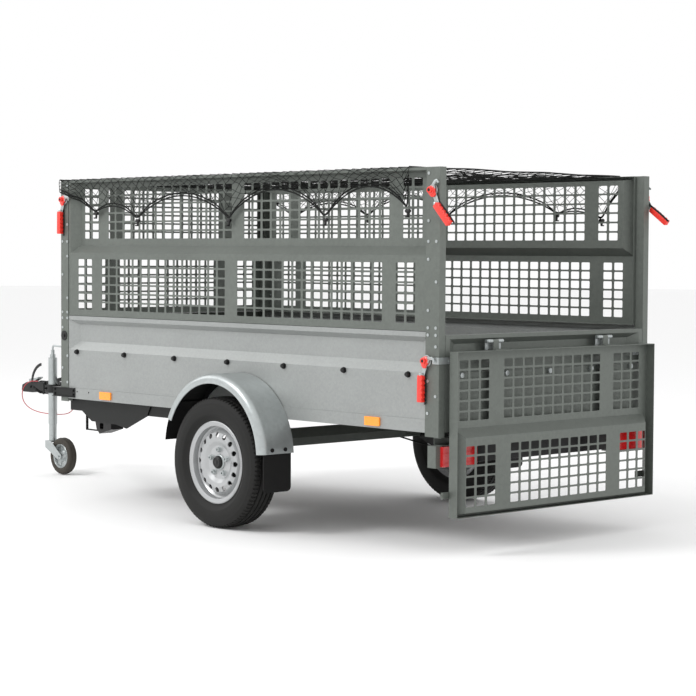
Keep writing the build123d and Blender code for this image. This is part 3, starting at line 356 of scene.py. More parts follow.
def make_grime():
    """Road dirt that thins out with height, and dull patches."""
    group, nodes, links, given, out = node_group(
        "Road grime",
        (("Colour", "NodeSocketColor", (0.5, 0.5, 0.5, 1)),
         ("Dirt", "NodeSocketColor", (0.12, 0.11, 0.095, 1)),
         ("Amount", "NodeSocketFloat", 0.25), ("Reach", "NodeSocketFloat", 0.55)),
        (("Colour", "NodeSocketColor"), ("Mask", "NodeSocketFloat")))
    place = nodes.new("ShaderNodeTexCoord").outputs["Object"]
    height = nodes.new("ShaderNodeSeparateXYZ")
    links.new(place, height.inputs[0])
    share = math_node(nodes, links, "DIVIDE", height.outputs[2], given.outputs["Reach"])
    low = math_node(nodes, links, "SUBTRACT", 1.0, share)
    low = math_node(nodes, links, "MAXIMUM", low, 0.12)
    patches = noise_node(nodes, links, place, 14.0, 5.0, 0.65)
    mask = math_node(nodes, links, "MULTIPLY", math_node(nodes, links, "MULTIPLY", low, patches),
                     given.outputs["Amount"])
    mask = math_node(nodes, links, "MINIMUM", mask, 1.0)
    mix = nodes.new("ShaderNodeMix")
    mix.data_type = "RGBA"
    links.new(mask, mix.inputs[0])
    links.new(given.outputs["Colour"], mix.inputs[6])
    links.new(given.outputs["Dirt"], mix.inputs[7])
    links.new(mix.outputs[2], out.inputs["Colour"])
    links.new(mask, out.inputs["Mask"])
    return group


def make_grain():
    """Fine moulded or cast grain: a tone and a height."""
    group, nodes, links, given, out = node_group(
        "Fine grain",
        (("Colour", "NodeSocketColor", (0.1, 0.1, 0.1, 1)), ("Size", "NodeSocketFloat", 500.0),
         ("Contrast", "NodeSocketFloat", 0.2), ("Roughness", "NodeSocketFloat", 0.5)),
        (("Colour", "NodeSocketColor"), ("Roughness", "NodeSocketFloat"), ("Height", "NodeSocketFloat")))
    place = nodes.new("ShaderNodeTexCoord").outputs["Object"]
    fine = noise_node(nodes, links, place, given.outputs["Size"], 3.0, 0.6)
    broad = noise_node(nodes, links, place, 9.0, 3.0)
    both = math_node(nodes, links, "ADD", math_node(nodes, links, "MULTIPLY", fine, 0.5),
                     math_node(nodes, links, "MULTIPLY", broad, 0.5))
    swing = math_node(nodes, links, "MULTIPLY", math_node(nodes, links, "SUBTRACT", both, 0.5),
                      given.outputs["Contrast"])
    factor = math_node(nodes, links, "ADD", math_node(nodes, links, "MULTIPLY", swing, 3.0), 1.0)
    links.new(tinted(nodes, links, given.outputs["Colour"], factor), out.inputs["Colour"])
    links.new(math_node(nodes, links, "ADD", given.outputs["Roughness"], swing), out.inputs["Roughness"])
    links.new(fine, out.inputs["Height"])
    return group


def new_material(name, colour):
    """An empty material with its nodes, links and shader."""
    material = bpy.data.materials.new(name)
    material.use_nodes = True
    material.diffuse_color = (*colour, 1)
    nodes, links = material.node_tree.nodes, material.node_tree.links
    return material, nodes, links, nodes["Principled BSDF"]


def use_group(nodes, group, **values):
    """Place a shared group with its own values."""
    node = nodes.new("ShaderNodeGroup")
    node.node_tree = group
    for label, value in values.items():
        socket = node.inputs[label]
        socket.default_value = (*value, 1) if hasattr(value, "__len__") else value
    return node


def bump(nodes, links, height, shader, strength, distance):
    """Feed a height to the shader as a bump."""
    node = nodes.new("ShaderNodeBump")
    node.inputs["Strength"].default_value = strength
    node.inputs["Distance"].default_value = distance
    links.new(height, node.inputs["Height"])
    links.new(node.outputs[0], shader.inputs["Normal"])
    return node


def zinc(name, colour, metallic, roughness, crystal, contrast, dirt):
    """Galvanised or bright zinc sheet."""
    material, nodes, links, shader = new_material(name, colour)
    sheet = use_group(nodes, GROUPS["spangle"], Colour=colour, Crystal=crystal, Contrast=contrast,
                      Roughness=roughness)
    grime = use_group(nodes, GROUPS["grime"], Amount=dirt)
    links.new(sheet.outputs["Colour"], grime.inputs["Colour"])
    links.new(grime.outputs["Colour"], shader.inputs["Base Color"])
    links.new(sheet.outputs["Roughness"], shader.inputs["Roughness"])
    shader.inputs["Metallic"].default_value = metallic
    bump(nodes, links, sheet.outputs["Height"], shader, 0.10, 0.0006)
    return material


def moulded(name, colour, roughness, size, contrast, dirt=0.1, metallic=0.0, coat=0.0, depth=0.25, gloss=0.5):
    """Plastic, rubber, paint or cast metal with a fine grain."""
    material, nodes, links, shader = new_material(name, colour)
    grain = use_group(nodes, GROUPS["grain"], Colour=colour, Size=size, Contrast=contrast,
                      Roughness=roughness)
    grime = use_group(nodes, GROUPS["grime"], Amount=dirt)
    links.new(grain.outputs["Colour"], grime.inputs["Colour"])
    links.new(grime.outputs["Colour"], shader.inputs["Base Color"])
    links.new(grain.outputs["Roughness"], shader.inputs["Roughness"])
    shader.inputs["Metallic"].default_value = metallic
    shader.inputs["Coat Weight"].default_value = coat
    shader.inputs["Specular IOR Level"].default_value = gloss
    shader.inputs["Coat Roughness"].default_value = 0.15
    bump(nodes, links, grain.outputs["Height"], shader, depth, 0.0004)
    return material


def wave_bump(material, scale, axis, strength, distance, kind="BANDS"):
    """Regular ribs or threads on top of a material's own bump."""
    nodes, links = material.node_tree.nodes, material.node_tree.links
    shader = nodes["Principled BSDF"]
    wave = nodes.new("ShaderNodeTexWave")
    wave.wave_type = kind
    if kind == "BANDS":
        wave.bands_direction = axis
    wave.inputs["Scale"].default_value = scale
    wave.inputs["Distortion"].default_value = 0.0
    links.new(nodes.new("ShaderNodeTexCoord").outputs["Object"], wave.inputs["Vector"])
    before = shader.inputs["Normal"].links[0].from_node
    node = nodes.new("ShaderNodeBump")
    node.inputs["Strength"].default_value = strength
    node.inputs["Distance"].default_value = distance
    links.new(wave.outputs["Fac"], node.inputs["Height"])
    links.new(before.outputs[0], node.inputs["Normal"])
    links.new(node.outputs[0], shader.inputs["Normal"])


def lens(name, colour):
    """Ribbed transparent plastic with a faint painted glow in its own colour, standing in for light returned from
    a bright back.
    """
    material = moulded(name, colour, 0.16, 300.0, 0.10, 0.03, coat=0.6, depth=0.05)
    shader = material.node_tree.nodes["Principled BSDF"]
    # Painted glow: a little emission in the lens's own colour stands in for light returned from behind the lens.
    shader.inputs["Emission Color"].default_value = (*colour, 1)
    shader.inputs["Emission Strength"].default_value = 0.12
    wave_bump(material, 45.0, "X", 0.35, 0.0008)
    wave_bump(material, 45.0, "Z", 0.35, 0.0008)
    return material


def plywood(name, colour):
    """Film-faced board with a hexagon grip pattern and wear."""
    material = moulded(name, colour, 0.5, 160.0, 0.35, 0.5)
    nodes, links = material.node_tree.nodes, material.node_tree.links
    shader = nodes["Principled BSDF"]
    cells = nodes.new("ShaderNodeTexVoronoi")
    cells.inputs["Scale"].default_value = 130.0
    cells.inputs["Randomness"].default_value = 0.0
    links.new(nodes.new("ShaderNodeTexCoord").outputs["Object"], cells.inputs["Vector"])
    before = shader.inputs["Normal"].links[0].from_node
    node = nodes.new("ShaderNodeBump")
    node.inputs["Strength"].default_value = 0.4
    node.inputs["Distance"].default_value = 0.0008
    links.new(cells.outputs["Distance"], node.inputs["Height"])
    links.new(before.outputs[0], node.inputs["Normal"])
    links.new(node.outputs[0], shader.inputs["Normal"])
    return material


GROUPS = {}
MATERIALS = {}


def colours():
    """The colours that a user has set."""
    return bpy.context.scene.trailer_colours


def sizes():
    """The sizes that a user has set."""
    return bpy.context.scene.trailer_sizes


class TRAILER_OT_finishes(bpy.types.Operator):
    """Make every finish and lay them on the metal and rubber of the frame"""

    bl_idname = "trailer.finishes"
    bl_label = "Finishes"

    def execute(self, context):
        tone = colours()
        GROUPS.update(spangle=make_spangle(), grime=make_grime(), grain=make_grain())
        MATERIALS.update(
            galvanised_light=zinc("Light galvanised sheet", tone.wall[:], 0.30, 0.42, 110.0, 0.10, 0.10),
            galvanised_mid=zinc("Aged galvanised sheet", tone.panel[:], 0.30, 0.46, 80.0, 0.13, 0.10),
            zinc_bright=zinc("Bright zinc", tone.bright[:], 0.62, 0.34, 60.0, 0.11, 0.08),
            black_steel=moulded("Black coated steel", tone.black[:], 0.45, 260.0, 0.30, 0.05, gloss=0.28),
            plywood=plywood("Film-faced plywood", tone.wood[:]),
            tyre_rubber=moulded("Tyre rubber", tone.tyre[:], 0.66, 420.0, 0.22, 0.06, gloss=0.26),
            black_rubber=moulded("Black rubber", (0.007, 0.007, 0.007), 0.6, 300.0, 0.20, 0.03, gloss=0.2),
            rim_silver=moulded("Rim silver", tone.rim[:], 0.34, 700.0, 0.08, 0.08, metallic=0.45, coat=0.4,
                               depth=0.06),
            cast_black=moulded("Black casting", (0.011, 0.012, 0.012), 0.5, 130.0, 0.35, 0.08,
                               depth=0.5, gloss=0.35),
            black_plastic=moulded("Black plastic", (0.008, 0.008, 0.008), 0.38, 520.0, 0.15, 0.02,
                                  gloss=0.35),
            latch_red=moulded("Red latch plastic", tone.grip[:], 0.34, 420.0, 0.08, 0.02,
                              coat=0.25, depth=0.12),
            amber_lens=lens("Amber lens", tone.amber[:]),
            red_lens=lens("Red lens", tone.lamp[:]),
            cable_red=moulded("Red cable sleeve", (0.42, 0.035, 0.045), 0.35, 600.0, 0.12, 0.02),
            net_black=moulded("Net cord", tone.net[:], 0.75, 900.0, 0.35, 0.01, gloss=0.2),
            jockey_tyre=moulded("Solid grey rubber", (0.036, 0.031, 0.024), 0.6, 300.0, 0.25, 0.15,
                                gloss=0.3),
        )
        for entry in frame["record"]["subparts"]:
            node = NODES[entry["node"]]
            material = MATERIALS[entry["material_slot"]]
            if not node.material_slots:
                node.data.materials.append(material)
            for place in node.material_slots:
                place.link = "OBJECT"
                place.material = material
        return {"FINISHED"}


# ---------------------------------------------------------------- stage
class TRAILER_OT_stage(bpy.types.Operator):
    """Set up the camera, the pale floor and the soft studio light"""

    bl_idname = "trailer.stage"
    bl_label = "Stage"

    def execute(self, context):
        scene = context.scene
        scene.view_settings.view_transform = "Standard"
        lens_data = bpy.data.cameras.new("Camera")
        lens_data.lens, lens_data.sensor_width = 103.7, 36.0
        lens_data.clip_end = 200.0
        camera = bpy.data.objects.new("Camera", lens_data)
        camera.matrix_world = (Matrix.Translation((7.4753, -6.417, 1.217))
                               @ Matrix.Rotation(math.radians(46.743), 4, "Z")
                               @ Matrix.Rotation(math.radians(90 - 2.738), 4, "X")
                               @ Matrix.Rotation(math.radians(0.313), 4, "Z"))
        scene.collection.objects.link(camera)
        scene.camera = camera
        world = bpy.data.worlds.new("Studio")
        scene.world = world
        world.use_nodes = True
        world.node_tree.nodes["Background"].inputs[0].default_value = (1.0, 1.0, 1.0, 1)
        world.node_tree.nodes["Background"].inputs[1].default_value = 1.0
        for name, place, size, power in (("Key", (-1.5, -6.5, 6.5), 3.0, 300.0),
                                         ("Rear", (7.0, 2.5, 4.0), 3.5, 60.0),
                                         ("Front", (-6.0, -3.0, 4.5), 3.5, 60.0)):
            light = bpy.data.lights.new(name, "AREA")
            light.shape, light.size, light.energy = "DISK", size, power
            lamp = bpy.data.objects.new(name, light)
            lamp.location = place
            lamp.rotation_euler = (Vector((0, 0, 0.7)) - Vector(place)).to_track_quat("-Z", "Y").to_euler()
            scene.collection.objects.link(lamp)
        put_down()
        bpy.ops.mesh.primitive_circle_add(vertices=96, radius=60.0, fill_type="NGON",
                                          location=(0, 0, -0.0015))
        floor = context.object
        floor.name = "floor"
        bpy.ops.object.transform_apply(location=True)
        paint, nodes, links, shader = new_material("Floor", (0.94, 0.94, 0.94))
        fleck = use_group(nodes, make_grain() if "grain" not in GROUPS else GROUPS["grain"],
                          Colour=(0.93, 0.93, 0.93), Size=60.0, Contrast=0.006, Roughness=0.9)
        links.new(fleck.outputs["Colour"], shader.inputs["Base Color"])
        links.new(fleck.outputs["Roughness"], shader.inputs["Roughness"])
        floor.data.materials.append(paint)
        put_down()
        return {"FINISHED"}


# ---------------------------------------------------------------- cords
def nurbs_curve(name, points, radius):
    """A smooth line through its control points, as thick as a cord."""
    data = bpy.data.curves.new(name, "CURVE")
    data.dimensions = "3D"
    data.bevel_depth, data.bevel_resolution = radius, 3
    data.use_fill_caps = True
    data.resolution_u = 8
    line = data.splines.new("NURBS")
    line.points.add(len(points) - 1)
    for place, point in zip(line.points, points):
        place.co = (*point, 1)
    line.order_u = 3
    line.use_endpoint_u = True
    cord = bpy.data.objects.new(name, data)
    bpy.context.collection.objects.link(cord)
    return cord


CABLE_ROUTE = ((-1090, -56, 491), (-1128, -58, 492), (-1168, -60, 486), (-1206, -60, 468), (-1232, -60, 440),
               (-1241, -59, 408), (-1232, -58, 377), (-1205, -56, 352), (-1166, -53, 334), (-1120, -49, 323),
               (-1070, -44, 317), (-1018, -40, 315), (-964, -38, 315), (-908, -37, 317), (-856, -37, 322),
               (-812, -38, 333), (-780, -40, 352), (-760, -42, 378), (-752, -44, 406), (-750, -45, 432))


class TRAILER_OT_cable(bpy.types.Operator):
    """Lay the red breakaway cable in its free loop"""

    bl_idname = "trailer.cable"
    bl_label = "Breakaway cable"

    def execute(self, context):
        route = [(FRONT + x * MM, y * MM, z * MM) for x, y, z in CABLE_ROUTE]
        cable = nurbs_curve("breakaway_cable_sleeve", route, sizes().cable / 2)
        cable.data.materials.append(MATERIALS["cable_red"])
        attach(cable, "chassis")
        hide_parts("breakaway_cable")
        return {"FINISHED"}


# ---------------------------------------------------------------- cargo net
REAR_MM = 1893.3
NEAR_HOOKS = ((-2340, 1404), (-2010, 1366), (-1340, 1362), (-700, 1360), (-205, 1392))
NEAR_PEAKS = (1431, 1474, 1490, 1491)
FAR_HOOKS = ((-2330, 1400), (-1780, 1398), (-1212, 1398), (-518, 1396), (-250, 1372))
FAR_PEAKS = (1470, 1490, 1490, 1410)
NET_FRONT_MM, NET_REAR_MM = -2606.0, -172.0


def hem_height(x, hooks, peaks):
    """Height in millimetres of the elastic edge at a place along the trailer."""
    first, last = hooks[0], hooks[-1]
    if x <= first[0]:
        share = (x - NET_FRONT_MM) / (first[0] - NET_FRONT_MM)
        return 1505 + (first[1] - 1505) * share ** 1.3
    if x >= last[0]:
        share = (x - last[0]) / (NET_REAR_MM - last[0])
        return last[1] + (1500 - last[1]) * share
    for before, after, peak in zip(hooks, hooks[1:], peaks):
        if before[0] <= x <= after[0]:
            share = (x - before[0]) / (after[0] - before[0])
            base = before[1] + (after[1] - before[1]) * share
            crest = peak - (before[1] + after[1]) / 2
            return base + crest * math.sin(math.pi * share) ** 0.75


def net_place(along, across, hang_share):
    """A point of the net: along runs 0 to 1 from front to rear, across -1 to 1 over the roof."""
    x = NET_FRONT_MM + (NET_REAR_MM - NET_FRONT_MM) * along
    side = -1 if across < 0 else 1
    hooks, peaks = (NEAR_HOOKS, NEAR_PEAKS) if side < 0 else (FAR_HOOKS, FAR_PEAKS)
    if hang_share <= 0:
        sag = 26 * (1 - across * across) * math.sin(math.pi * min(1.0, along * 0.98 + 0.02)) ** 0.5
        ripple = 2.0 * math.sin(along * 37.0 + across * 9.0)
        return Vector((x, across * 669.0, 1563.5 - sag + ripple * (1 - across ** 4)))
    low = hem_height(x, hooks, peaks)
    height = 1563.5 + (low - 1563.5) * hang_share
    tuck = 4.0 + 26.0 * hang_share ** 1.4
    if x < NET_FRONT_MM + 110 or x > NET_REAR_MM - 30:
        tuck *= 0.15
    pull = 14 * math.sin(along * 60.0) * hang_share * (1 - hang_share)
    return Vector((x + pull, side * (673.0 - tuck), height))


def world_mm(point):
    """Metres in the frame from net millimetres, which start at the rear of the posts."""
    return Vector((point.x + REAR_MM, point.y, point.z)) * MM


class TRAILER_OT_net(bpy.types.Operator):
    """Stretch the cargo net over the roof and hook its elastic edge to the panels"""

    bl_idname = "trailer.net"
    bl_label = "Cargo net"

    def execute(self, context):
        size = sizes()
        draw = random.Random(7)
        along, across, hang = size.net_along, size.net_across, size.net_hang
        rows = across + 2 * hang
        put_down()
        bpy.ops.mesh.primitive_grid_add(x_subdivisions=along, y_subdivisions=rows, size=1.0)
        net = context.object
        net.name = "cargo_net_mesh"
        bpy.ops.object.mode_set(mode="EDIT")
        bpy.ops.mesh.select_mode(type="FACE")
        bpy.ops.mesh.select_all(action="SELECT")
        bpy.ops.mesh.poke()
        mesh = bmesh.from_edit_mesh(net.data)
        bpy.ops.mesh.select_mode(type="EDGE")
        for edge in mesh.edges:
            run = edge.verts[1].co - edge.verts[0].co
            straight = abs(run.x) < 1e-6 or abs(run.y) < 1e-6
            edge.select = straight and len(edge.link_faces) == 2
        mesh.select_flush_mode()
        bmesh.update_edit_mesh(net.data)
        bpy.ops.mesh.dissolve_edges(use_verts=False)
        put_down()
        for vertex in net.data.vertices:
            u = vertex.co.x + 0.5
            v = (vertex.co.y + 0.5) * rows
            if v < hang:
                over, hung = -1.0, (hang - v) / hang
            elif v > rows - hang:
                over, hung = 1.0, (v - rows + hang) / hang
            else:
                over, hung = -1 + 2 * (v - hang) / across, 0.0
            place = net_place(u, over, hung)
            inside = 0.02 < u < 0.98 and hung < 0.97
            loose = Vector([draw.uniform(-1, 1) for _ in range(3)])
            if inside:
                calm = 1 - over ** 6 if hung == 0 else 0.0
                rise = -abs(loose.z) * 7 * calm + loose.z * 5 * (hung > 0)
                place += Vector((loose.x * 10, loose.y * (8 * calm + 0.6), rise))
            vertex.co = world_mm(place)
        pick_up(net)
        wires = net.modifiers.new("Strands", "WIREFRAME")
        wires.thickness, wires.use_even_offset, wires.use_boundary = size.net_strand, False, True
        bpy.ops.object.modifier_apply(modifier=wires.name)
        smooth(net, 60)
        hand_over(net, "chassis", "net_black", MATERIALS["net_black"], "cargo_net")

        hems = []
        for side, hooks, peaks in ((-1, NEAR_HOOKS, NEAR_PEAKS), (1, FAR_HOOKS, FAR_PEAKS)):
            for strand in range(2):
                points = []
                for step in range(97):
                    x = NET_FRONT_MM + 6 + (NET_REAR_MM - NET_FRONT_MM - 12) * step / 96
                    nearest = min(abs(x - hook[0]) for hook in hooks)
                    spread = 11.0 * min(1.0, nearest / 90.0)
                    place = net_place((x - NET_FRONT_MM) / (NET_REAR_MM - NET_FRONT_MM), side, 1.0)
                    place.x = x
                    place.z = hem_height(x, hooks, peaks) + (spread if strand else -2.0)
                    points.append(world_mm(place))
                hems.append(nurbs_curve("hem", points, size.elastic / 2))
        for x in (NET_REAR_MM, NET_FRONT_MM + 3):
            points = [world_mm(net_place((x - NET_FRONT_MM) / (NET_REAR_MM - NET_FRONT_MM), over / 14, 0.0))
                      for over in range(-14, 15)]
            for index, point in enumerate(points):
                point.x += 0.004 * math.sin(index * 1.9)
            hems.append(nurbs_curve("hem", points, size.elastic / 2))
        pick_up(*hems)
        bpy.ops.object.convert(target="MESH")
        hem = joined("cargo_net_elastic", *hems)
        hand_over(smooth(hem, 60), "chassis", "net_black", MATERIALS["net_black"])

        hooks = []
        for side, places in ((-1, NEAR_HOOKS), (1, FAR_HOOKS)):
            for x, z in places:
                centre = world_mm(Vector((x, side * 641.0, z - 6)))
                hooks.append(self.hook(centre, side))
        hook = joined("cargo_net_hooks", *hooks)
        hand_over(smooth(hook, 50), "chassis", "black_plastic", MATERIALS["black_plastic"])
        return {"FINISHED"}

    def hook(self, centre, side):
        """One plastic hook: a barrel on the elastic and a claw round the edge of a hole."""
        barrel = spun("barrel", ((-13, 0.2), (-13, 6), (-9, 8.5), (0, 7), (9, 8.5), (13, 6), (13, 0.2)),
                      centre, (1, 0, 0), steps=14)
        claw = prism("claw", ((-5, 0), (5, 0), (6, -14), (4, -26), (-4, -26), (-6, -14)),
                     centre + Vector((0, side * 0.003, 0)), (1, 0, 0), (0, 0, 1), -side * -0.006)
        tip = prism("tip", ((-4, -20), (4, -20), (4, -26), (-4, -26)),
                    centre + Vector((0, 0, 0)), (1, 0, 0), (0, 0, 1), side * -0.014)
        rounded(claw, 0.0015)
        rounded(tip, 0.001)
        return joined("hook", barrel, claw, tip)


# ---------------------------------------------------------------- wheels
def tyre_section(width, radius, seat, bead):
    """Half of a road tyre's outline from the bead outwards, in millimetres."""
    half = width / 2
    side = [(bead, seat + 0.6), (bead + 6, seat + 15), (bead + 9.5, seat + 19), (bead + 9.5, seat + 24),
            (bead + 14, seat + 31), (half - 4.5, seat + 44), (half - 2.8, seat + 47), (half - 2.2, seat + 51),
            (half - 0.9, seat + 60), (half - 0.2, seat + 70), (half - 1.0, seat + 83),
            (half - 3.2, seat + 92), (half - 2.8, seat + 95), (half - 4.6, seat + 99),
            (half - 8.0, seat + 108), (half - 11.5, radius - 10), (half - 15, radius - 6.2)]
    tread = []
    for start, stop in ((half - 18, 39), (33, 15), (9, 0)):
        for place in (start, stop):
            tread.append((place, radius - 6.0 * (place / half) ** 2))
        if stop > 0:
            tread += [(stop, radius - 8 - 6.0 * (stop / half) ** 2),
                      (stop - 6, radius - 8 - 6.0 * ((stop - 6) / half) ** 2)]
    return side + tread


class TRAILER_OT_wheels(bpy.types.Operator):
    """Build the tyres, brake drums, wheel bolts and hub caps"""

    bl_idname = "trailer.wheels"
    bl_label = "Wheels"

    def execute(self, context):
        steps = sizes().tread_steps
        outer = tyre_section(155.0, 289.0, 165.0, 48.0)
        section = outer + [(-along, radius) for along, radius in reversed(outer[:-1])]
        section += [(-40, 163.5), (40, 163.5)]
        tyre = spun("tyre_left_tread", section, AXLE, (0, -1, 0), steps=steps)

        def block_gap(centre, normal):
            """Whether a face lies in a gap between two shoulder blocks of the tread."""
            reach = Vector((centre.x - AXLE.x, 0, centre.z - AXLE.z))
            out = abs(centre.y - AXLE.y)
            if not (0.040 < out < 0.068 and reach.length > 0.2765 and normal.dot(reach.normalized()) > 0.55):
                return False
            turn = math.degrees(math.atan2(reach.z, reach.x)) % 360
            return int(turn / (360 / steps)) % 2 == 0

        choose(tyre, block_gap)
        bpy.ops.mesh.inset(thickness=0.0016, depth=-0.0035, use_individual=False)
        put_down()
        smooth(tyre, 38)
        hand_over(copied(tyre, "tyre_right_tread", MIRROR), "wheel_right", "tyre_rubber",
                  MATERIALS["tyre_rubber"], "tyre_right")
        hand_over(tyre, "wheel_left", "tyre_rubber", MATERIALS["tyre_rubber"], "tyre_left")

        drum = spun("brake_drum_left_casting",
                    ((-52.5, 0.5), (-52.5, 103), (-47, 104), (18, 104), (24, 100), (29.8, 92), (29.8, 0.5)),
                    AXLE, (0, -1, 0), steps=72)
        cap = spun("hub_cap_left",
                   ((30, 0.3), (30, 33), (34.2, 33.5), (34.2, 28.6), (46, 28.4), (50, 26), (54, 22.5),
                    (54.6, 20.5), (53.2, 18), (53.2, 9), (54.6, 7), (54.6, 0.3)),
                   AXLE, (0, -1, 0), steps=48)
        ring = spun("hub_ring_left",
                    ((34.4, 28.8), (34.4, 34.5), (36.5, 35), (39, 33.4), (40.5, 30.5), (40.5, 28.8)),
                    AXLE, (0, -1, 0), steps=48)
        bolts = []
        for index in range(5):
            angle = math.radians(90 + 72 * index)
            centre = AXLE + Vector((math.cos(angle), 0, math.sin(angle))) * 0.056
            bolts.append(spun("bolt", ((34.2, 0.3), (34.2, 13.5), (36.4, 13), (37.2, 11.2), (47.5, 10.6),
                                       (49.2, 9.2), (49.2, 5.4), (44, 5.0), (44, 0.3)),
                              centre, (0, -1, 0), steps=24))
        bolt_set = joined("wheel_bolts_left", *bolts)
        for piece, slot, nodes in ((drum, "cast_black", ("brake_drum",)), (cap, "black_plastic", ()),
                                   (ring, "zinc_bright", ()), (bolt_set, "zinc_bright", ())):
            smooth(piece, 40)
            other = copied(piece, piece.name.replace("left", "right"), MIRROR)
            for item, hand in ((piece, "left"), (other, "right")):
                stood_for = [node + "_" + hand for node in nodes]
                hand_over(item, "wheel_" + hand, slot, MATERIALS[slot], *stood_for)
        return {"FINISHED"}


class TRAILER_OT_mudguards(bpy.types.Operator):
    """Line the mudguards in black"""

    bl_idname = "trailer.mudguards"
    bl_label = "Mudguard liners"
    rear: FloatProperty(name="Rear end", description="Angle of the liner's rear end above level", default=3.4)
    front: FloatProperty(name="Front end", description="Angle of the liner's front end", default=155.6)

    def execute(self, context):
        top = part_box("mudguards")[1].z
        radius = sizes().guard
        centre = Vector((AXLE.x, 0, top - radius))
        edge = radius / MM
        section = ((841.8, -39), (841.8, -30), (839.5, -20), (834.0, -11.5), (826.0, -6.0), (815.0, -3.4),
                   (669.5, -3.4), (669.5, -27), (671.0, -27), (671.0, -4.9), (815.0, -4.9), (825.5, -7.4),
                   (832.8, -12.6), (838.0, -20.5), (840.3, -30), (840.3, -39))
        liner = spun("mudguard_liner_left", [(out, edge + drop) for out, drop in section], centre, (0, -1, 0),
                     steps=48, arc=math.radians(self.front - self.rear), start=math.radians(self.front - 90))
        smooth(liner, 35)
        for piece in (copied(liner, "mudguard_liner_right", MIRROR), liner):
            hand_over(piece, "chassis", "black_rubber", MATERIALS["black_rubber"])
        return {"FINISHED"}


class TRAILER_OT_latches(bpy.types.Operator):
    """Model one lever latch and fit a copy at each of the six places"""

    bl_idname = "trailer.latches"
    bl_label = "Latches"

    def execute(self, context):
        pivot = Vector(PIVOT["latch_low_left_swing"])
        pivot.y = -HALF
        right, up = (1, 0, 0), (0, 0, 1)

        def out(distance):
            """A point this many millimetres outwards from the pivot."""
            return pivot + Vector((0, -distance * MM, 0))

        grip_line = [(-35, -62), (-32, -58), (-12, -58), (-8.5, -62)]
        ribs = sizes().grip_ribs
        pitch = 96.0 / ribs
        for rib in range(ribs):
            top = -64 - rib * pitch
            grip_line += [(-8, top - pitch * 0.15), (-8, top - pitch * 0.50), (-11.5, top - pitch * 0.72),
                          (-11.5, top - pitch * 0.88)]
        grip_line += [(-8, -163), (-10, -168), (-33, -168), (-36, -164)]
        grip = prism("grip", grip_line, out(5), right, up, 0.0195)
        rounded(grip, 0.0035, 3, 30)
        collar = spun("collar", ((10, 7), (10, 17.5), (12.5, 19), (15.5, 18), (19, 11.5), (25, 10.5),
                                 (28, 12.5), (30, 13), (31.5, 11.5), (31.5, 7)),
                      pivot, (0, -1, 0), steps=36)
        shoulder = prism("shoulder", ((-16, 12), (-22, -2), (-20, -20), (-10, -30), (4, -30), (10, -18),
                                      (14, 2), (8, 14)), out(11.5), right, up, 0.0055)
        rounded(shoulder, 0.002, 3)
        red = smooth(joined("latch_low_left_grip", grip, collar, shoulder), 35)

        strap = prism("strap", ((-10, 8), (9, 8), (4, -30), (-10, -66), (-14, -92), (-28, -92), (-29, -66),
                                (-16, -22)), out(8), right, up, 0.003)
        rounded(strap, 0.0008, 2)
        neck = spun("neck", ((0, 0.3), (0, 9), (3, 10), (9, 10), (12, 8.6), (12, 0.3)),
                    out(15) + Vector((-0.021, 0, -0.062)), (0, 0, 1), steps=20)
        hook = prism("hook", ((8, -8), (8, 14), (38, 18), (51, 11), (51, -6), (44, -6), (41.5, 5),
                              (24, 4), (20, -8)), out(13), right, up, 0.0035)
        rounded(hook, 0.001, 2)
        ring = spun("ring", ((3.2, 6.3), (3.2, 22), (4.6, 24), (6.4, 23), (7.2, 20), (7.2, 6.3)),
                    pivot, (0, -1, 0), steps=40)
        metal = smooth(joined("latch_low_left_lever", strap, neck, hook, ring), 35)

        strip = prism("strip", ((-15, -20), (-6, -22), (-3, -60), (-1, -120), (-4, -176), (-12, -178),
                                (-10, -120), (-11, -60)), out(3.4), right, up, 0.0026)
        rounded(strip, 0.0007, 2)
        knob = spun("knob", ((20, 0.3), (20, 6.6), (30.5, 6.6), (33, 5), (33.6, 0.3)),
                    pivot, (0, -1, 0), steps=24)
        black = smooth(joined("latch_low_left_strip", strip, knob), 35)

        def fit(body, angle, right_hand):
            """The matrix that takes the first latch to another place."""
            place = PIVOT[body + "_swing"]
            shift = Vector((place[0] - pivot.x, 0, place[2] - pivot.z))
            turned = (Matrix.Translation(pivot + shift) @ Matrix.Rotation(math.radians(-angle), 4, "Y")
                      @ Matrix.Translation(-pivot))
            return MIRROR @ turned if right_hand else turned

        places = {body: fit(body, angle, hand) for body, angle, hand in (
            ("latch_low_right", 0, True), ("latch_up_left", 44, False), ("latch_up_right", 55, True),
            ("latch_front_left", 0, False), ("latch_front_right", 0, True))}
        kinds = ((red, "latch_red"), (metal, "zinc_bright"), (black, "black_plastic"))
        for body, matrix in places.items():
            for piece, slot in kinds:
                name = piece.name.replace("latch_low_left", body)
                nodes = (body,) if slot == "latch_red" else ()
                hand_over(copied(piece, name, matrix), body, slot, MATERIALS[slot], *nodes)
        for piece, slot in kinds:
            nodes = ("latch_low_left",) if slot == "latch_red" else ()
            hand_over(piece, "latch_low_left", slot, MATERIALS[slot], *nodes)
        return {"FINISHED"}


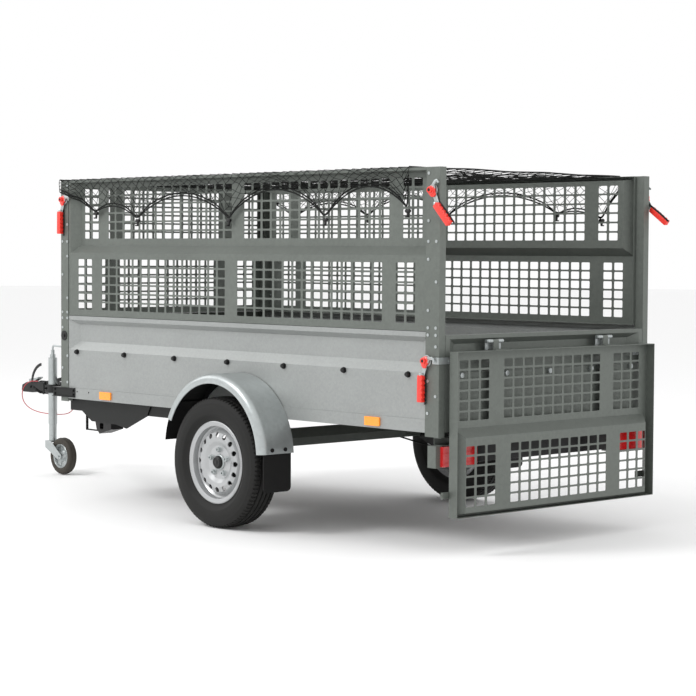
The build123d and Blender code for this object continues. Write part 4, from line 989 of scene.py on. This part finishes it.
class TRAILER_OT_jockey(bpy.types.Operator):
    """Build the jockey wheel's rubber, its pressed disc and the drawbar bellows"""

    bl_idname = "trailer.jockey"
    bl_label = "Jockey wheel and bellows"

    def execute(self, context):
        centre = Vector(PIVOT["jockey_wheel_spin"])
        rubber = spun("jockey_wheel_rubber",
                      ((-14, 62), (-20, 64), (-24, 70), (-25, 78), (-24, 88), (-19, 96), (-10, 99.6),
                       (-4, 98.2), (4, 98.2), (10, 99.6), (19, 96), (24, 88), (25, 78), (24, 70),
                       (20, 64), (14, 62)),
                      centre, (0, -1, 0), steps=72)
        smooth(rubber, 40)
        hand_over(rubber, "jockey_wheel", "jockey_tyre", MATERIALS["jockey_tyre"], "jockey_wheel")
        disc = spun("jockey_wheel_disc",
                    ((-16, 64), (-21, 65.5), (-22.5, 64), (-18, 60), (-9, 56), (-6, 44), (-7, 32),
                     (-15, 24), (-23, 21), (-24, 7), (24, 7), (23, 21), (15, 24), (7, 32), (6, 44),
                     (9, 56), (18, 60), (22.5, 64), (21, 65.5), (16, 64)), centre, (0, -1, 0), steps=48)

        def window(place, normal):
            """Whether a face lies in one of the disc's six pressed windows."""
            reach = Vector((place.x - centre.x, 0, place.z - centre.z))
            turn = math.degrees(math.atan2(reach.z, reach.x)) % 60
            return 0.032 < reach.length < 0.050 and 15 < turn < 45 and abs(normal.y) > 0.6

        choose(disc, window)
        bpy.ops.mesh.inset(thickness=0.0012, depth=-0.0030, use_individual=False)
        put_down()
        smooth(disc, 35)
        hand_over(disc, "jockey_wheel", "zinc_bright", MATERIALS["zinc_bright"])

        low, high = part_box("bellows")
        tube_z = (low.z + high.z) / 2
        folds, length = 7, (high.x - low.x) / MM
        pitch = length / folds
        section = [(0, 25.6), (0, 31)]
        for fold in range(folds):
            start = fold * pitch
            for share, radius in ((0.22, 32), (0.42, 36), (0.5, 36.8), (0.58, 36), (0.78, 32), (1.0, 30.2)):
                section.append((start + share * pitch, radius))
        section.append((length, 25.6))
        bellows = spun("drawbar_bellows", section, (low.x, 0, tube_z), (1, 0, 0), steps=48)
        smooth(bellows, 50)
        hand_over(bellows, "draw_tube", "black_rubber", MATERIALS["black_rubber"], "bellows")
        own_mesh(bellows)
        return {"FINISHED"}


PIECES = (TRAILER_OT_finishes, TRAILER_OT_stage, TRAILER_OT_cable, TRAILER_OT_net, TRAILER_OT_wheels,
          TRAILER_OT_mudguards, TRAILER_OT_latches, TRAILER_OT_jockey)


class TRAILER_PT_sidebar(bpy.types.Panel):
    """Steps of the trailer, in order"""

    bl_idname = "TRAILER_PT_sidebar"
    bl_label = "Livestock trailer"
    bl_space_type = "VIEW_3D"
    bl_region_type = "UI"
    bl_category = "Trailer"

    def draw(self, context):
        for step in PIECES:
            self.layout.operator(step.bl_idname)
        for group in (context.scene.trailer_colours, context.scene.trailer_sizes):
            for name in group.__annotations__:
                self.layout.prop(group, name)


CLASSES = (TrailerColours, TrailerSizes, *PIECES, TRAILER_PT_sidebar)


def register():
    for item in CLASSES:
        bpy.utils.register_class(item)
    bpy.types.Scene.trailer_colours = PointerProperty(type=TrailerColours)
    bpy.types.Scene.trailer_sizes = PointerProperty(type=TrailerSizes)


def unregister():
    del bpy.types.Scene.trailer_sizes
    del bpy.types.Scene.trailer_colours
    for item in reversed(CLASSES):
        bpy.utils.unregister_class(item)


def main():
    register()
    for step in PIECES:
        group, name = step.bl_idname.split(".")
        getattr(getattr(bpy.ops, group), name)()


if __name__ == "__main__":
    main()
